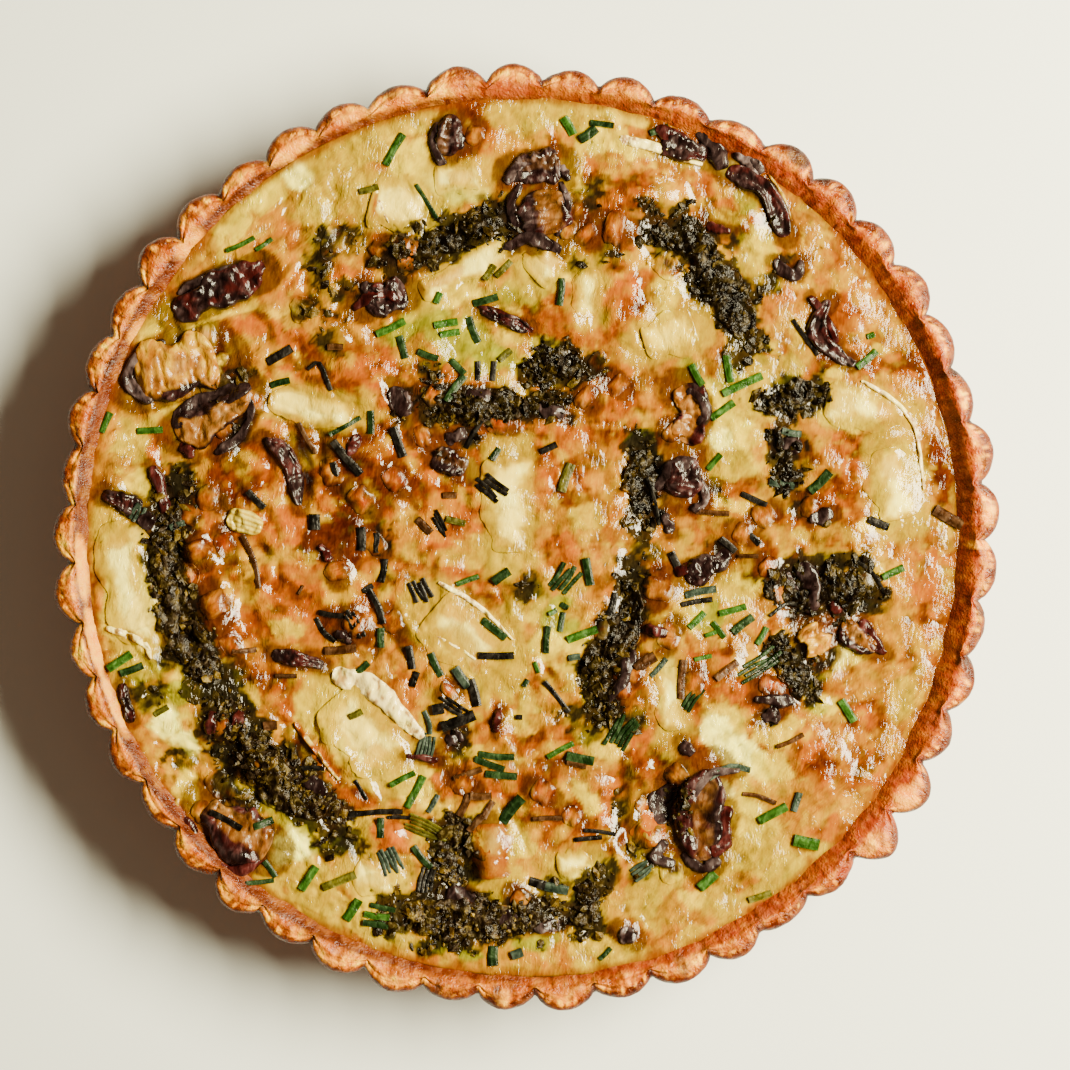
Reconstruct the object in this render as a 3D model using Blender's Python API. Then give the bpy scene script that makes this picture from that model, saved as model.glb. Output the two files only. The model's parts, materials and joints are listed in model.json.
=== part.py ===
"""A round quiche, baked in a deep fluted tart crust.

Savoury custard fills the crust to just under its rim. On the custard lie roasted mushroom slices,
melted slices of soft cheese, clumps of chopped herbs and one curl of onion, and each is a solid of its own.

Metres, +Z up. The origin is the middle of the flat underside.
"""

import math
from collections import namedtuple

import bmesh
import bpy
import numpy as np
from mathutils import Vector
from mathutils.bvhtree import BVHTree

MM = 0.001
GAP = 0.4 * MM                   # between two pieces that touch

# The crust.
FLUTES = 49
FIRST_FLUTE = math.radians(3.4)  # where the first crest stands, counter-clockwise from +X
PITCH = math.tau / FLUTES
POINTS_PER_FLUTE = 6
RIM_RADIUS = 0.1197              # to the crests, at the top
FLUTE_DEPTH = 0.0044
CREST_SHARPNESS = 0.7            # below 1 the crests are full and the grooves between them are sharp
RIM_HEIGHT = 0.0300
WALL_TAPER = 0.0075              # how much narrower the crust is at its foot
FOOT_ROUNDING = 0.0016
LIP_ROUNDING = 0.0018
LIP_DROP = 0.0022                # from the top of the rim down to where the flutes are widest
FLARED_FLUTES = (43, 44)         # two flutes that peeled outwards in the oven
FLARE = 0.0030

# The inner face of the crust, as (height, radius) from its floor to its lip.
FLOOR_HEIGHT = 0.0050
INNER_FACE = ((FLOOR_HEIGHT, 0.1000), (0.0220, 0.1066), (0.0294, 0.1134))
INNER_POINTS = 2 * FLUTES

# The custard.
CUSTARD_CELLS = 26               # cells across its top
CUSTARD_EDGE = 0.0277            # height where it meets the crust
CUSTARD_MIDDLE = 0.0272
SHRINK_DROP = 0.0031             # how far it sank where it came away from the crust
SHRINK_ANGLE = math.radians(2.0)
SHRINK_SPREAD = math.radians(52.0)
EDGE_BAND = 0.16                 # share of the radius over which the edge height fades out

Finish = namedtuple("Finish", "colour roughness")
PASTRY = Finish((0.66, 0.36, 0.15), 0.62)
CUSTARD = Finish((0.84, 0.50, 0.10), 0.32)
MUSHROOM = Finish((0.105, 0.030, 0.032), 0.28)
CHEESE = Finish((0.86, 0.70, 0.34), 0.30)
HERB = Finish((0.030, 0.040, 0.016), 0.50)
ONION = Finish((0.80, 0.66, 0.36), 0.30)

# A topping follows a path over the custard. Places, width and height are in millimetres.
Topping = namedtuple("Topping", "path width height")

MUSHROOMS = {
    "mushroom_top": Topping([(-20, 96.5), (-18.5, 107)], 6, 4.5),
    "mushroom_cap_curl": Topping([(-3, 92.5), (9, 94.5)], 9, 4.5),
    "mushroom_cap_slice": Topping([(5.5, 76.5), (4.5, 88)], 12.5, 4.0),
    "mushroom_rim_knob": Topping([(34.5, 100), (46, 96.5)], 6.5, 4.5),
    "mushroom_rim_strip": Topping([(51, 92.5), (56.5, 90.5), (62, 86), (66, 76)], 5.5, 4.0),
    "mushroom_left_long": Topping([(-89, 57), (-67, 67)], 9.5, 4.5),
    "mushroom_left_gilled": Topping([(-98.5, 40), (-78, 45)], 16, 5.0),
    "mushroom_left_arch": Topping([(-88.5, 26), (-79, 30), (-70, 36.5)], 9, 4.5),
    "mushroom_right_hook": Topping([(77, 60), (74, 54), (75.5, 49), (82, 44)], 4.2, 3.5),
    "mushroom_inner_leaf": Topping([(39, 38), (43, 31), (39, 24.5)], 9, 3.6),
    "mushroom_inner_dark": Topping([(41, 20.5), (39.5, 10)], 9, 4.2),
    "mushroom_left_tip": Topping([(-107, 10.8), (-97, 7.5)], 5, 4.0),
    "mushroom_wrinkled": Topping([(-80.5, -68), (-73, -75), (-65, -79.5)], 12.5, 5.5),
    "mushroom_rim_sliver": Topping([(-102, -37), (-99.5, -47)], 2.8, 2.6),
    "mushroom_left_strip": Topping([(-66, 25), (-60, 20), (-57, 8)], 4, 3.4),
    "mushroom_big_curl": Topping([(47.5, -59), (44, -70), (45, -82)], 11, 6.5),
    "mushroom_mid_lens": Topping([(-11, 57.5), (1, 52.5)], 3.4, 2.6),
    "mushroom_upper_nub": Topping([(-40.5, 59), (-30, 62)], 8.5, 3.8),
    "mushroom_right_flesh": Topping([(71, -22.5), (75.5, -29.5)], 7.5, 4.0),
    "mushroom_right_tail": Topping([(80.5, -21.5), (84, -26), (89, -28.5)], 5.5, 3.6),
    "mushroom_left_lens": Topping([(-64, -29.5), (-51, -32.5)], 3.8, 2.8),
    "mushroom_mid_dark": Topping([(41, -11), (49, -5.2)], 6, 4.2),
    "mushroom_mid_scrap": Topping([(-23, 21), (-15, 17)], 6.5, 3.4),
}

CHEESES = {
    "cheese_top_block": Topping([(-39, 86), (-24.5, 82)], 12.5, 3.6),
    "cheese_top_small": Topping([(-23, 90.8), (-11, 91.5)], 7.5, 3.0),
    "cheese_upper_band": Topping([(-26.5, 61.5), (-3.5, 74)], 7, 3.0),
    "cheese_upper_lump": Topping([(1.5, 66), (8, 72)], 9, 3.4),
    "cheese_upper_oval": Topping([(15.5, 55.5), (16.5, 68)], 6.5, 2.6),
    "cheese_left_slice": Topping([(-65, 35), (-43.5, 31)], 8, 2.8),
    "cheese_middle_oval": Topping([(-4, 20.5), (-4, -4)], 11.5, 3.2),
    "cheese_right_upper": Topping([(76, 34.5), (95.5, 30)], 9.5, 3.6),
    "cheese_right_lower": Topping([(91.5, 22.5), (95.5, 4.5)], 11, 3.2),
    "cheese_lower_left": Topping([(-49, -41), (-35, -57.5)], 15, 3.2),
    "cheese_lower_middle": Topping([(-23.5, -18.5), (-8, -31.5)], 16, 3.0),
    "cheese_left_edge": Topping([(-103.5, 4), (-98, -27)], 11.5, 3.0),
    "cheese_lower_right": Topping([(36, -33), (38, -49)], 7, 2.8),
    "cheese_right_patch": Topping([(30, 49), (43, 53)], 10, 2.4),
    "cheese_bottom_small": Topping([(8, -83.2), (17, -82)], 6, 2.6),
    "cheese_bottom_left": Topping([(-43.5, -85.5), (-32.5, -87.5)], 7, 2.8),
    "cheese_bottom_browned": Topping([(-9, -72.5), (-8, -86.5)], 9, 3.8),
    "cheese_browned_bulb": Topping([(31.5, -69), (31.5, -78.5)], 7, 4.0),
}

HERBS = {
    "herbs_top": Topping([(-32, 70), (-20, 75.5), (-5.5, 80)], 8, 2.8),
    "herbs_upper_right": Topping([(33, 78), (44, 73), (50, 61), (56, 50)], 10, 3.0),
    "herbs_left_column": Topping([(-90, 10), (-90.5, -6), (-87, -22), (-79, -38)], 10, 3.0),
    "herbs_lower_left": Topping([(-76, -44), (-67, -58.5), (-50.5, -70)], 11, 3.0),
    "herbs_bottom_stem": Topping([(-18.5, -73), (-19, -88)], 8, 3.0),
    "herbs_bottom_bank": Topping([(-32, -95), (-14, -97), (7, -95)], 11, 3.2),
    "herbs_bottom_tuft": Topping([(16, -87.5), (14.5, -99)], 8, 3.0),
    "herbs_right": Topping([(66, -11), (75, -14), (85, -12)], 12, 3.4),
    "herbs_lower_right": Topping([(63.5, -27), (67.5, -33.5), (72, -41)], 7, 2.8),
    "herbs_middle_column": Topping([(27.5, -11), (25, -24), (18.5, -33), (22, -46)], 8, 3.0),
    "herbs_inner_right": Topping([(30, 22), (29, 5)], 8.5, 3.0),
    "herbs_right_upper": Topping([(61.5, 32.5), (73.5, 38)], 7, 2.6),
    "herbs_right_strip": Topping([(65, 28), (66, 14)], 6, 2.4),
    "herbs_upper_tuft": Topping([(1.5, 42), (14.5, 44)], 9, 2.6),
    "herbs_upper_middle": Topping([(-23, 34.5), (-9, 32.5), (6.5, 33.5)], 8, 2.8),
}

ONIONS = {
    "onion_curl": Topping([(-75.5, 5.2), (-66.5, 2.4)], 5.5, 2.6),
}

# How each kind of topping is built: how square it is, how uneven, and how long a piece one ring covers.
Build = namedtuple("Build", "squareness unevenness ring_length")
MUSHROOM_BUILD = Build(0.72, 0.16, 4.2)
CHEESE_BUILD = Build(0.42, 0.08, 5.0)
HERB_BUILD = Build(0.60, 0.20, 4.6)
SIDES = 8                        # round each topping


def clear_scene():
    """Remove what the scene holds, so that the model stands alone."""
    for old in list(bpy.data.objects):
        bpy.data.objects.remove(old, do_unlink=True)


def new_object(name, mesh, collection, finish):
    """An object for a mesh, in the quiche's collection, with a Principled material of its own."""
    material = bpy.data.materials.new(name + "_finish")
    material.use_nodes = True
    shader = material.node_tree.nodes["Principled BSDF"]
    shader.inputs["Base Color"].default_value = (*finish.colour, 1.0)
    shader.inputs["Roughness"].default_value = finish.roughness
    shader.inputs["Metallic"].default_value = 0.0
    mesh.materials.append(material)
    mesh.shade_smooth()
    mesh.set_sharp_from_angle(angle=math.radians(50.0))
    thing = bpy.data.objects.new(name, mesh)
    collection.objects.link(thing)
    return thing


def waves(angle, *terms):
    """A slow unevenness round the quiche: sines of (count, size, phase) added up."""
    return sum(size * np.sin(count * angle + phase) for count, size, phase in terms)


def rim_height(angle):
    """The height of the rim, which slumped a little here and there as it baked."""
    flute = np.round((angle - FIRST_FLUTE) / PITCH)
    return RIM_HEIGHT + waves(angle, (2, 0.4 * MM, 1.0), (5, 0.3 * MM, 0.4)) + 0.25 * MM * np.sin(2.7 * flute)


def fluted_radius(angle):
    """The outline over the flutes at the top: full crests, sharp grooves, each crest its own height."""
    flute = np.round((angle - FIRST_FLUTE) / PITCH) % FLUTES
    swell = np.abs(np.cos((angle - FIRST_FLUTE) * FLUTES / 2.0)) ** CREST_SHARPNESS
    depth = FLUTE_DEPTH * (1.0 + 0.10 * np.sin(2.1 * flute) + 0.07 * np.sin(5.3 * flute + 1.0))
    depth = depth + FLARE * np.isin(flute, FLARED_FLUTES)
    groove = RIM_RADIUS - FLUTE_DEPTH + waves(angle, (3, 0.35 * MM, 0.6), (7, 0.20 * MM, 2.0))
    return groove + depth * swell


def fluted_ring(inset, height):
    """A ring of points round the flutes, moved in by inset. The outline is centred on the origin."""
    angle = np.arange(FLUTES * POINTS_PER_FLUTE) * math.tau / (FLUTES * POINTS_PER_FLUTE) + FIRST_FLUTE
    radius = fluted_radius(angle)
    outline = np.column_stack((radius * np.cos(angle), radius * np.sin(angle)))
    centre = (outline.min(axis=0) + outline.max(axis=0)) / 2.0
    share = (radius - inset(angle)) / radius
    return np.column_stack(((outline - centre) * share[:, None], height(angle)))


def smooth_ring(radius, height):
    """A plain round ring of the crust's inner face."""
    angle = np.arange(INNER_POINTS) * math.tau / INNER_POINTS + FIRST_FLUTE
    return np.column_stack((radius * np.cos(angle), radius * np.sin(angle), np.full(INNER_POINTS, height)))


def bridge(first, second, count):
    """Quads between two rings of count points each, which start at first and second."""
    here = np.arange(count)
    after = (here + 1) % count
    return np.column_stack((first + here, first + after, second + after, second + here)).tolist()


def bridge_to_coarser(fine, coarse, coarse_count):
    """Triangles from a fine ring to one with a third of its points."""
    here = np.arange(coarse_count)
    after = (here + 1) % coarse_count
    first = fine + 3 * here
    fourth = fine + 3 * after
    fans = (
        (coarse + here, first, first + 1),
        (coarse + here, first + 1, coarse + after),
        (coarse + after, first + 1, first + 2),
        (coarse + after, first + 2, fourth),
    )
    return [face for fan in fans for face in np.column_stack(fan).tolist()]


def make_crust(collection):
    """The pastry case: a fluted wall that flares to its rim, a sloping inner face and a floor."""
    fine_count = FLUTES * POINTS_PER_FLUTE

    def level(height):
        return lambda angle: np.full(angle.shape, height)

    rings = [
        fluted_ring(level(WALL_TAPER + FOOT_ROUNDING), level(0.0)),
        fluted_ring(level(WALL_TAPER), level(FOOT_ROUNDING)),
        fluted_ring(level(0.0), lambda angle: rim_height(angle) - LIP_DROP),
        fluted_ring(level(LIP_ROUNDING), rim_height),
    ]
    rings += [smooth_ring(radius, height) for height, radius in reversed(INNER_FACE)]
    starts = np.cumsum([0] + [len(ring) for ring in rings]).tolist()

    faces = [list(range(fine_count - 1, -1, -1))]
    for band in range(3):
        faces += bridge(starts[band], starts[band + 1], fine_count)
    faces += bridge_to_coarser(starts[3], starts[4], INNER_POINTS)
    for band in range(4, 6):
        faces += bridge(starts[band], starts[band + 1], INNER_POINTS)
    faces.append(list(range(starts[6], starts[7])))

    mesh = bpy.data.meshes.new("crust")
    mesh.from_pydata(np.vstack(rings).tolist(), [], faces)
    return new_object("crust", mesh, collection, PASTRY)


def inner_radius(height):
    """How far out the crust's inner face stands at a height."""
    heights = [place[0] for place in INNER_FACE]
    radii = [place[1] for place in INNER_FACE]
    return np.interp(height, heights, radii)


def custard_edge_height(angle):
    """The custard's height at the crust: nearly flush, but sunk where it shrank away from the wall."""
    off = (angle - SHRINK_ANGLE + math.pi) % math.tau - math.pi
    sunk = SHRINK_DROP * np.exp(-((off / SHRINK_SPREAD) ** 2))
    return CUSTARD_EDGE - sunk + waves(angle, (4, 0.2 * MM, 0.0), (9, 0.15 * MM, 1.0))


def custard_height(x, y, share, angle):
    """The custard's top: shallow swells in the middle, which turn into its edge height near the crust."""
    swells = 0.55 * MM * np.sin(x / 0.0105 + 0.6) * np.cos(y / 0.0120 - 0.4)
    swells = swells + 0.45 * MM * np.sin((x + y) / 0.0190 + 1.8)
    edge = np.clip((share - (1.0 - EDGE_BAND)) / EDGE_BAND, 0.0, 1.0)
    edge = edge * edge * (3.0 - 2.0 * edge)
    return (1.0 - edge) * (CUSTARD_MIDDLE + swells) + edge * custard_edge_height(angle)


def make_custard(collection):
    """The custard: a grid drawn round onto a disc for its top, with its sides let down to the crust's floor."""
    body = bmesh.new()
    bmesh.ops.create_grid(body, x_segments=CUSTARD_CELLS, y_segments=CUSTARD_CELLS, size=1.0)
    square = np.array([vertex.co[:] for vertex in body.verts])
    disc_x = square[:, 0] * np.sqrt(1.0 - square[:, 1] ** 2 / 2.0)
    disc_y = square[:, 1] * np.sqrt(1.0 - square[:, 0] ** 2 / 2.0)
    share = np.hypot(disc_x, disc_y)
    angle = np.arctan2(disc_y, disc_x)
    edge_radius = inner_radius(custard_edge_height(angle)) - GAP
    x = disc_x * edge_radius
    y = disc_y * edge_radius
    z = custard_height(x, y, share, angle)
    for vertex, place in zip(body.verts, np.column_stack((x, y, z))):
        vertex.co = place

    rim = [edge for edge in body.edges if edge.is_boundary]
    for height in (INNER_FACE[1][0], FLOOR_HEIGHT + GAP):
        made = bmesh.ops.extrude_edge_only(body, edges=rim)["geom"]
        rim = [item for item in made if isinstance(item, bmesh.types.BMEdge)]
        for vertex in [item for item in made if isinstance(item, bmesh.types.BMVert)]:
            outward = math.atan2(vertex.co.y, vertex.co.x)
            radius = float(inner_radius(height)) - GAP
            vertex.co = (radius * math.cos(outward), radius * math.sin(outward), height)
    bmesh.ops.contextual_create(body, geom=rim)
    bmesh.ops.recalc_face_normals(body, faces=body.faces)
    mesh = bpy.data.meshes.new("custard")
    body.to_mesh(mesh)
    body.free()
    return new_object("custard", mesh, collection, CUSTARD)


def along(path, fraction):
    """Points and directions of the smooth curve through a path, at fractions 0 to 1 of its spans."""
    points = np.array(path, dtype=float)
    points = np.vstack((2.0 * points[0] - points[1], points, 2.0 * points[-1] - points[-2]))
    spans = len(path) - 1
    place = np.clip(fraction, 0.0, 1.0) * spans
    first = np.minimum(place.astype(int), spans - 1)
    t = (place - first)[:, None]
    a, b, c, d = (points[first + step] for step in range(4))
    curve = 0.5 * (2 * b + (c - a) * t + (2 * a - 5 * b + 4 * c - d) * t**2 + (3 * b - a - 3 * c + d) * t**3)
    slope = 0.5 * ((c - a) + 2 * (2 * a - 5 * b + 4 * c - d) * t + 3 * (3 * b - a - 3 * c + d) * t**2)
    return curve, slope / np.linalg.norm(slope, axis=1)[:, None]


def make_topping(name, topping, build, finish, surface, collection):
    """A sphere drawn out along the topping's path. Its underside follows the custard that it lies on."""
    lengths = [math.dist(start, end) for start, end in zip(topping.path, topping.path[1:])]
    rings = max(5, round(sum(lengths) / build.ring_length))
    body = bmesh.new()
    bmesh.ops.create_uvsphere(body, u_segments=SIDES, v_segments=rings, radius=1.0)
    ball = np.array([vertex.co[:] for vertex in body.verts])

    girth = np.hypot(ball[:, 0], ball[:, 1])
    fuller = np.where(girth > 1e-6, np.maximum(girth, 1e-6) ** (build.squareness - 1.0), 0.0)
    across = ball[:, 0] * fuller
    up = ball[:, 1] * fuller
    centre, direction = along(topping.path, (ball[:, 2] + 1.0) / 2.0)

    phase = sum(place[0] + 2.0 * place[1] for place in topping.path)
    uneven = 1.0 + build.unevenness * np.sin(4.1 * ball[:, 2] + 2.3 * across + phase)
    offset = across * uneven * topping.width / 2.0
    flat = (centre + np.column_stack((-direction[:, 1], direction[:, 0])) * offset[:, None]) * MM
    rise = np.where(up < -1e-3, 0.0, 0.14 + 0.86 * np.maximum(up, 0.0) ** 0.85)
    rise = rise * topping.height * MM * (1.0 + build.unevenness * np.sin(3.3 * ball[:, 2] - phase))

    for vertex, (x, y), lift in zip(body.verts, flat, rise):
        ground = surface.ray_cast(Vector((x, y, 0.1)), Vector((0.0, 0.0, -1.0)))[0]
        vertex.co = (x, y, ground.z + GAP + lift)
    mesh = bpy.data.meshes.new(name)
    body.to_mesh(mesh)
    body.free()
    return new_object(name, mesh, collection, finish)


def main():
    clear_scene()
    collection = bpy.data.collections.new("quiche")
    bpy.context.scene.collection.children.link(collection)
    make_crust(collection)
    custard = make_custard(collection)
    surface = BVHTree.FromPolygons(
        [vertex.co for vertex in custard.data.vertices],
        [polygon.vertices for polygon in custard.data.polygons],
    )
    kinds = (
        (MUSHROOMS, MUSHROOM_BUILD, MUSHROOM),
        (CHEESES, CHEESE_BUILD, CHEESE),
        (HERBS, HERB_BUILD, HERB),
        (ONIONS, MUSHROOM_BUILD, ONION),
    )
    for toppings, build, finish in kinds:
        for name, topping in toppings.items():
            make_topping(name, topping, build, finish, surface, collection)


main()
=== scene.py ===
"""The looks of a quiche: fluted pastry, browned custard, roasted mushrooms, soft cheese, herbs and chives.

Places and sizes in the tables are millimetres over the quiche's middle, x to the right and y away. MM turns
them into Blender's metres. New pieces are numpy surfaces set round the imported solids, which are the frame.
"""

import json
import math

import bpy
import numpy as np
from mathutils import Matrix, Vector
from mathutils.bvhtree import BVHTree

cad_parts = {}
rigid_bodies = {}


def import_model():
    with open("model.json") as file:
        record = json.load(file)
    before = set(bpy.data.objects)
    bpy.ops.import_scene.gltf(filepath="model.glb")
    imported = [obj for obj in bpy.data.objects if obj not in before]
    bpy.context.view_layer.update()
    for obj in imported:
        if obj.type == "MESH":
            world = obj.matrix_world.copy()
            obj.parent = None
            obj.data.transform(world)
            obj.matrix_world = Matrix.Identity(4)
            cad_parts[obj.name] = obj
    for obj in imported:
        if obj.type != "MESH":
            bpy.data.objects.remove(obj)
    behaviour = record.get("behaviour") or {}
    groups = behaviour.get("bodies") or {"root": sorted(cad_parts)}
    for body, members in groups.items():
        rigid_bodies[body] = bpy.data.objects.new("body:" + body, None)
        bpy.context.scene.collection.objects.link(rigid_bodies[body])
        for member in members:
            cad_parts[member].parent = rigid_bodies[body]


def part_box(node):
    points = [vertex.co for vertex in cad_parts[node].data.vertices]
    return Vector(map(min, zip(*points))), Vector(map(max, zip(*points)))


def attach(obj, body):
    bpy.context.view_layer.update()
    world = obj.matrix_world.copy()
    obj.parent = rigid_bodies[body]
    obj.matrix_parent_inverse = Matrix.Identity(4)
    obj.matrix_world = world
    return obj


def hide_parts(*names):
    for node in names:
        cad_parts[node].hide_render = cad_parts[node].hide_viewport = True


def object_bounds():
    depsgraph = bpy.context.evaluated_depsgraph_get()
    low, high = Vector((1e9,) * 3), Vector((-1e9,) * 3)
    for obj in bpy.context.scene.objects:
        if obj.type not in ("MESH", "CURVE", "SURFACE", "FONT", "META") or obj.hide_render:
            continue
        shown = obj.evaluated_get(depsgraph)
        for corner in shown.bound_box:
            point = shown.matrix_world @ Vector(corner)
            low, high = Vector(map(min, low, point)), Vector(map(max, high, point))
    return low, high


bl_info = {
    "name": "Baked quiche",
    "version": (1, 0, 0),
    "blender": (4, 5, 0),
    "location": "3D View > Sidebar > Quiche",
    "description": "Builds the finish of a round quiche around its solids",
    "category": "Object",
}

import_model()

MM = 0.001
CAD_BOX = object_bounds()
CRUST_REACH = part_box("crust")[1][0] / MM
TOP_LIMIT = CAD_BOX[1][2] / MM


def rows_of(text):
    """Rows of a table in text: a semicolon ends a row, names stay text and every other word is a number."""
    rows = (row.split() for row in text.split(";"))
    return [tuple(word if word[0].isalpha() else float(word) for word in row) for row in rows if row]


def paths_of(text):
    """Rows of (name, path, width, height), from a table of name, width, height and the path's x and y pairs."""
    return [
        (name, list(zip(places[::2], places[1::2])), width, height)
        for name, width, height, *places in rows_of(text)
    ]


def forms_of(text):
    """The same rows as a dictionary: each name leads to its path, width and height."""
    return {name: form for name, *form in paths_of(text)}


# ---------------------------------------------------------------- the crust's form, as its solid has it
FLUTES = 49
FIRST_FLUTE = math.radians(3.4)
PITCH = math.tau / FLUTES
RIM_RADIUS = CRUST_REACH - 0.15
FLUTE_DEPTH = 4.4
CREST_SHARPNESS = 0.7
FLARED_FLUTES = (43, 44)
FLARE = 3.0
RIM_HEIGHT = 30.0
WALL_TAPER = 7.5
INNER_HEIGHTS = (5.0, 22.0, 29.4)
INNER_RADII = (100.0, 106.6, 113.4)
GAP = 0.3
CUSTARD_LEVEL = 27.2

# ---------------------------------------------------------------- margins, contrasts and counts
TOP_MARGIN = 0.05
SMALL_MARGIN = 0.03
CUSTARD_MIDDLE, CUSTARD_CONTRAST = (0.36, 0.16, 0.01), 1.35
CRUST_MIDDLE, CRUST_CONTRAST, CRUST_BRIGHTNESS = (0.42, 0.12, 0.004), 1.25, 1.04
CUSTARD_CELLS = 300
SIDES_OF_A_FLUTE = 22
LEAVES_REACH = 109.0
MOST_LEAVES = 19000
HEIGHT_OFF_THE_PIECES = 27.0

# ---------------------------------------------------------------- the toppings, on the paths of their solids
# Each row is name, width, height, then the path's x and y pairs.
MUSHROOMS = forms_of("""
    mushroom_top 6 4.5 -20 96.5 -18.5 107;
    mushroom_cap_curl 9 4.5 -3 92.5 9 94.5;
    mushroom_cap_slice 12.5 4 5.5 76.5 4.5 88;
    mushroom_rim_knob 6.5 4.5 34.5 100 46 96.5;
    mushroom_rim_strip 5.5 4 51 92.5 56.5 90.5 62 86 66 76;
    mushroom_left_long 9.5 4.5 -89 57 -67 67;
    mushroom_left_gilled 16 5 -98.5 40 -78 45;
    mushroom_left_arch 9 4.5 -88.5 26 -79 30 -70 36.5;
    mushroom_right_hook 4.2 3.5 77 60 74 54 75.5 49 82 44;
    mushroom_inner_leaf 9 3.6 39 38 43 31 39 24.5;
    mushroom_inner_dark 9 4.2 41 20.5 39.5 10;
    mushroom_left_tip 5 4 -107 10.8 -97 7.5;
    mushroom_wrinkled 12.5 5.5 -80.5 -68 -73 -75 -65 -79.5;
    mushroom_rim_sliver 2.8 2.6 -102 -37 -99.5 -47;
    mushroom_left_strip 4 3.4 -66 25 -60 20 -57 8;
    mushroom_big_curl 11 6.5 47.5 -59 44 -70 45 -82;
    mushroom_mid_lens 3.4 2.6 -11 57.5 1 52.5;
    mushroom_upper_nub 8.5 3.8 -40.5 59 -30 62;
    mushroom_right_flesh 7.5 4 71 -22.5 75.5 -29.5;
    mushroom_right_tail 5.5 3.6 80.5 -21.5 84 -26 89 -28.5;
    mushroom_left_lens 3.8 2.8 -64 -29.5 -51 -32.5;
    mushroom_mid_dark 6 4.2 41 -11 49 -5.2;
    mushroom_mid_scrap 6.5 3.4 -23 21 -15 17;
""")

# Rinds and folds on the cheese: white ones, and one that browned
BROWNED_RINDS = ("ridge_lower_left",)
RINDS = forms_of("""
    rind_lower_left 5 1 -49 -35 -41 -37 -33.5 -43 -25.5 -50.5;
    rind_lower_middle 1.2 0.8 -22 -11.5 -15.5 -15 -9 -20 -3 -26;
    rind_middle_line 0.9 0.6 -23 -25 -17 -28 -11 -32;
    rind_right 1.1 0.7 85 39.5 92 35.5 98 29 100 21 101 12;
    fold_left 1.6 1 -106 -23 -101 -24.5 -96 -27.5 -94.5 -31;
    ridge_lower_left 1.2 1 -58.5 -47 -54 -53 -47 -61.5;
    fold_top 2.2 0.8 24 101 33 98.5 45 94.5;
    edge_top_block 0.9 0.8 -38 89.5 -36.5 84 -34.5 79.5;
""")

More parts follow.
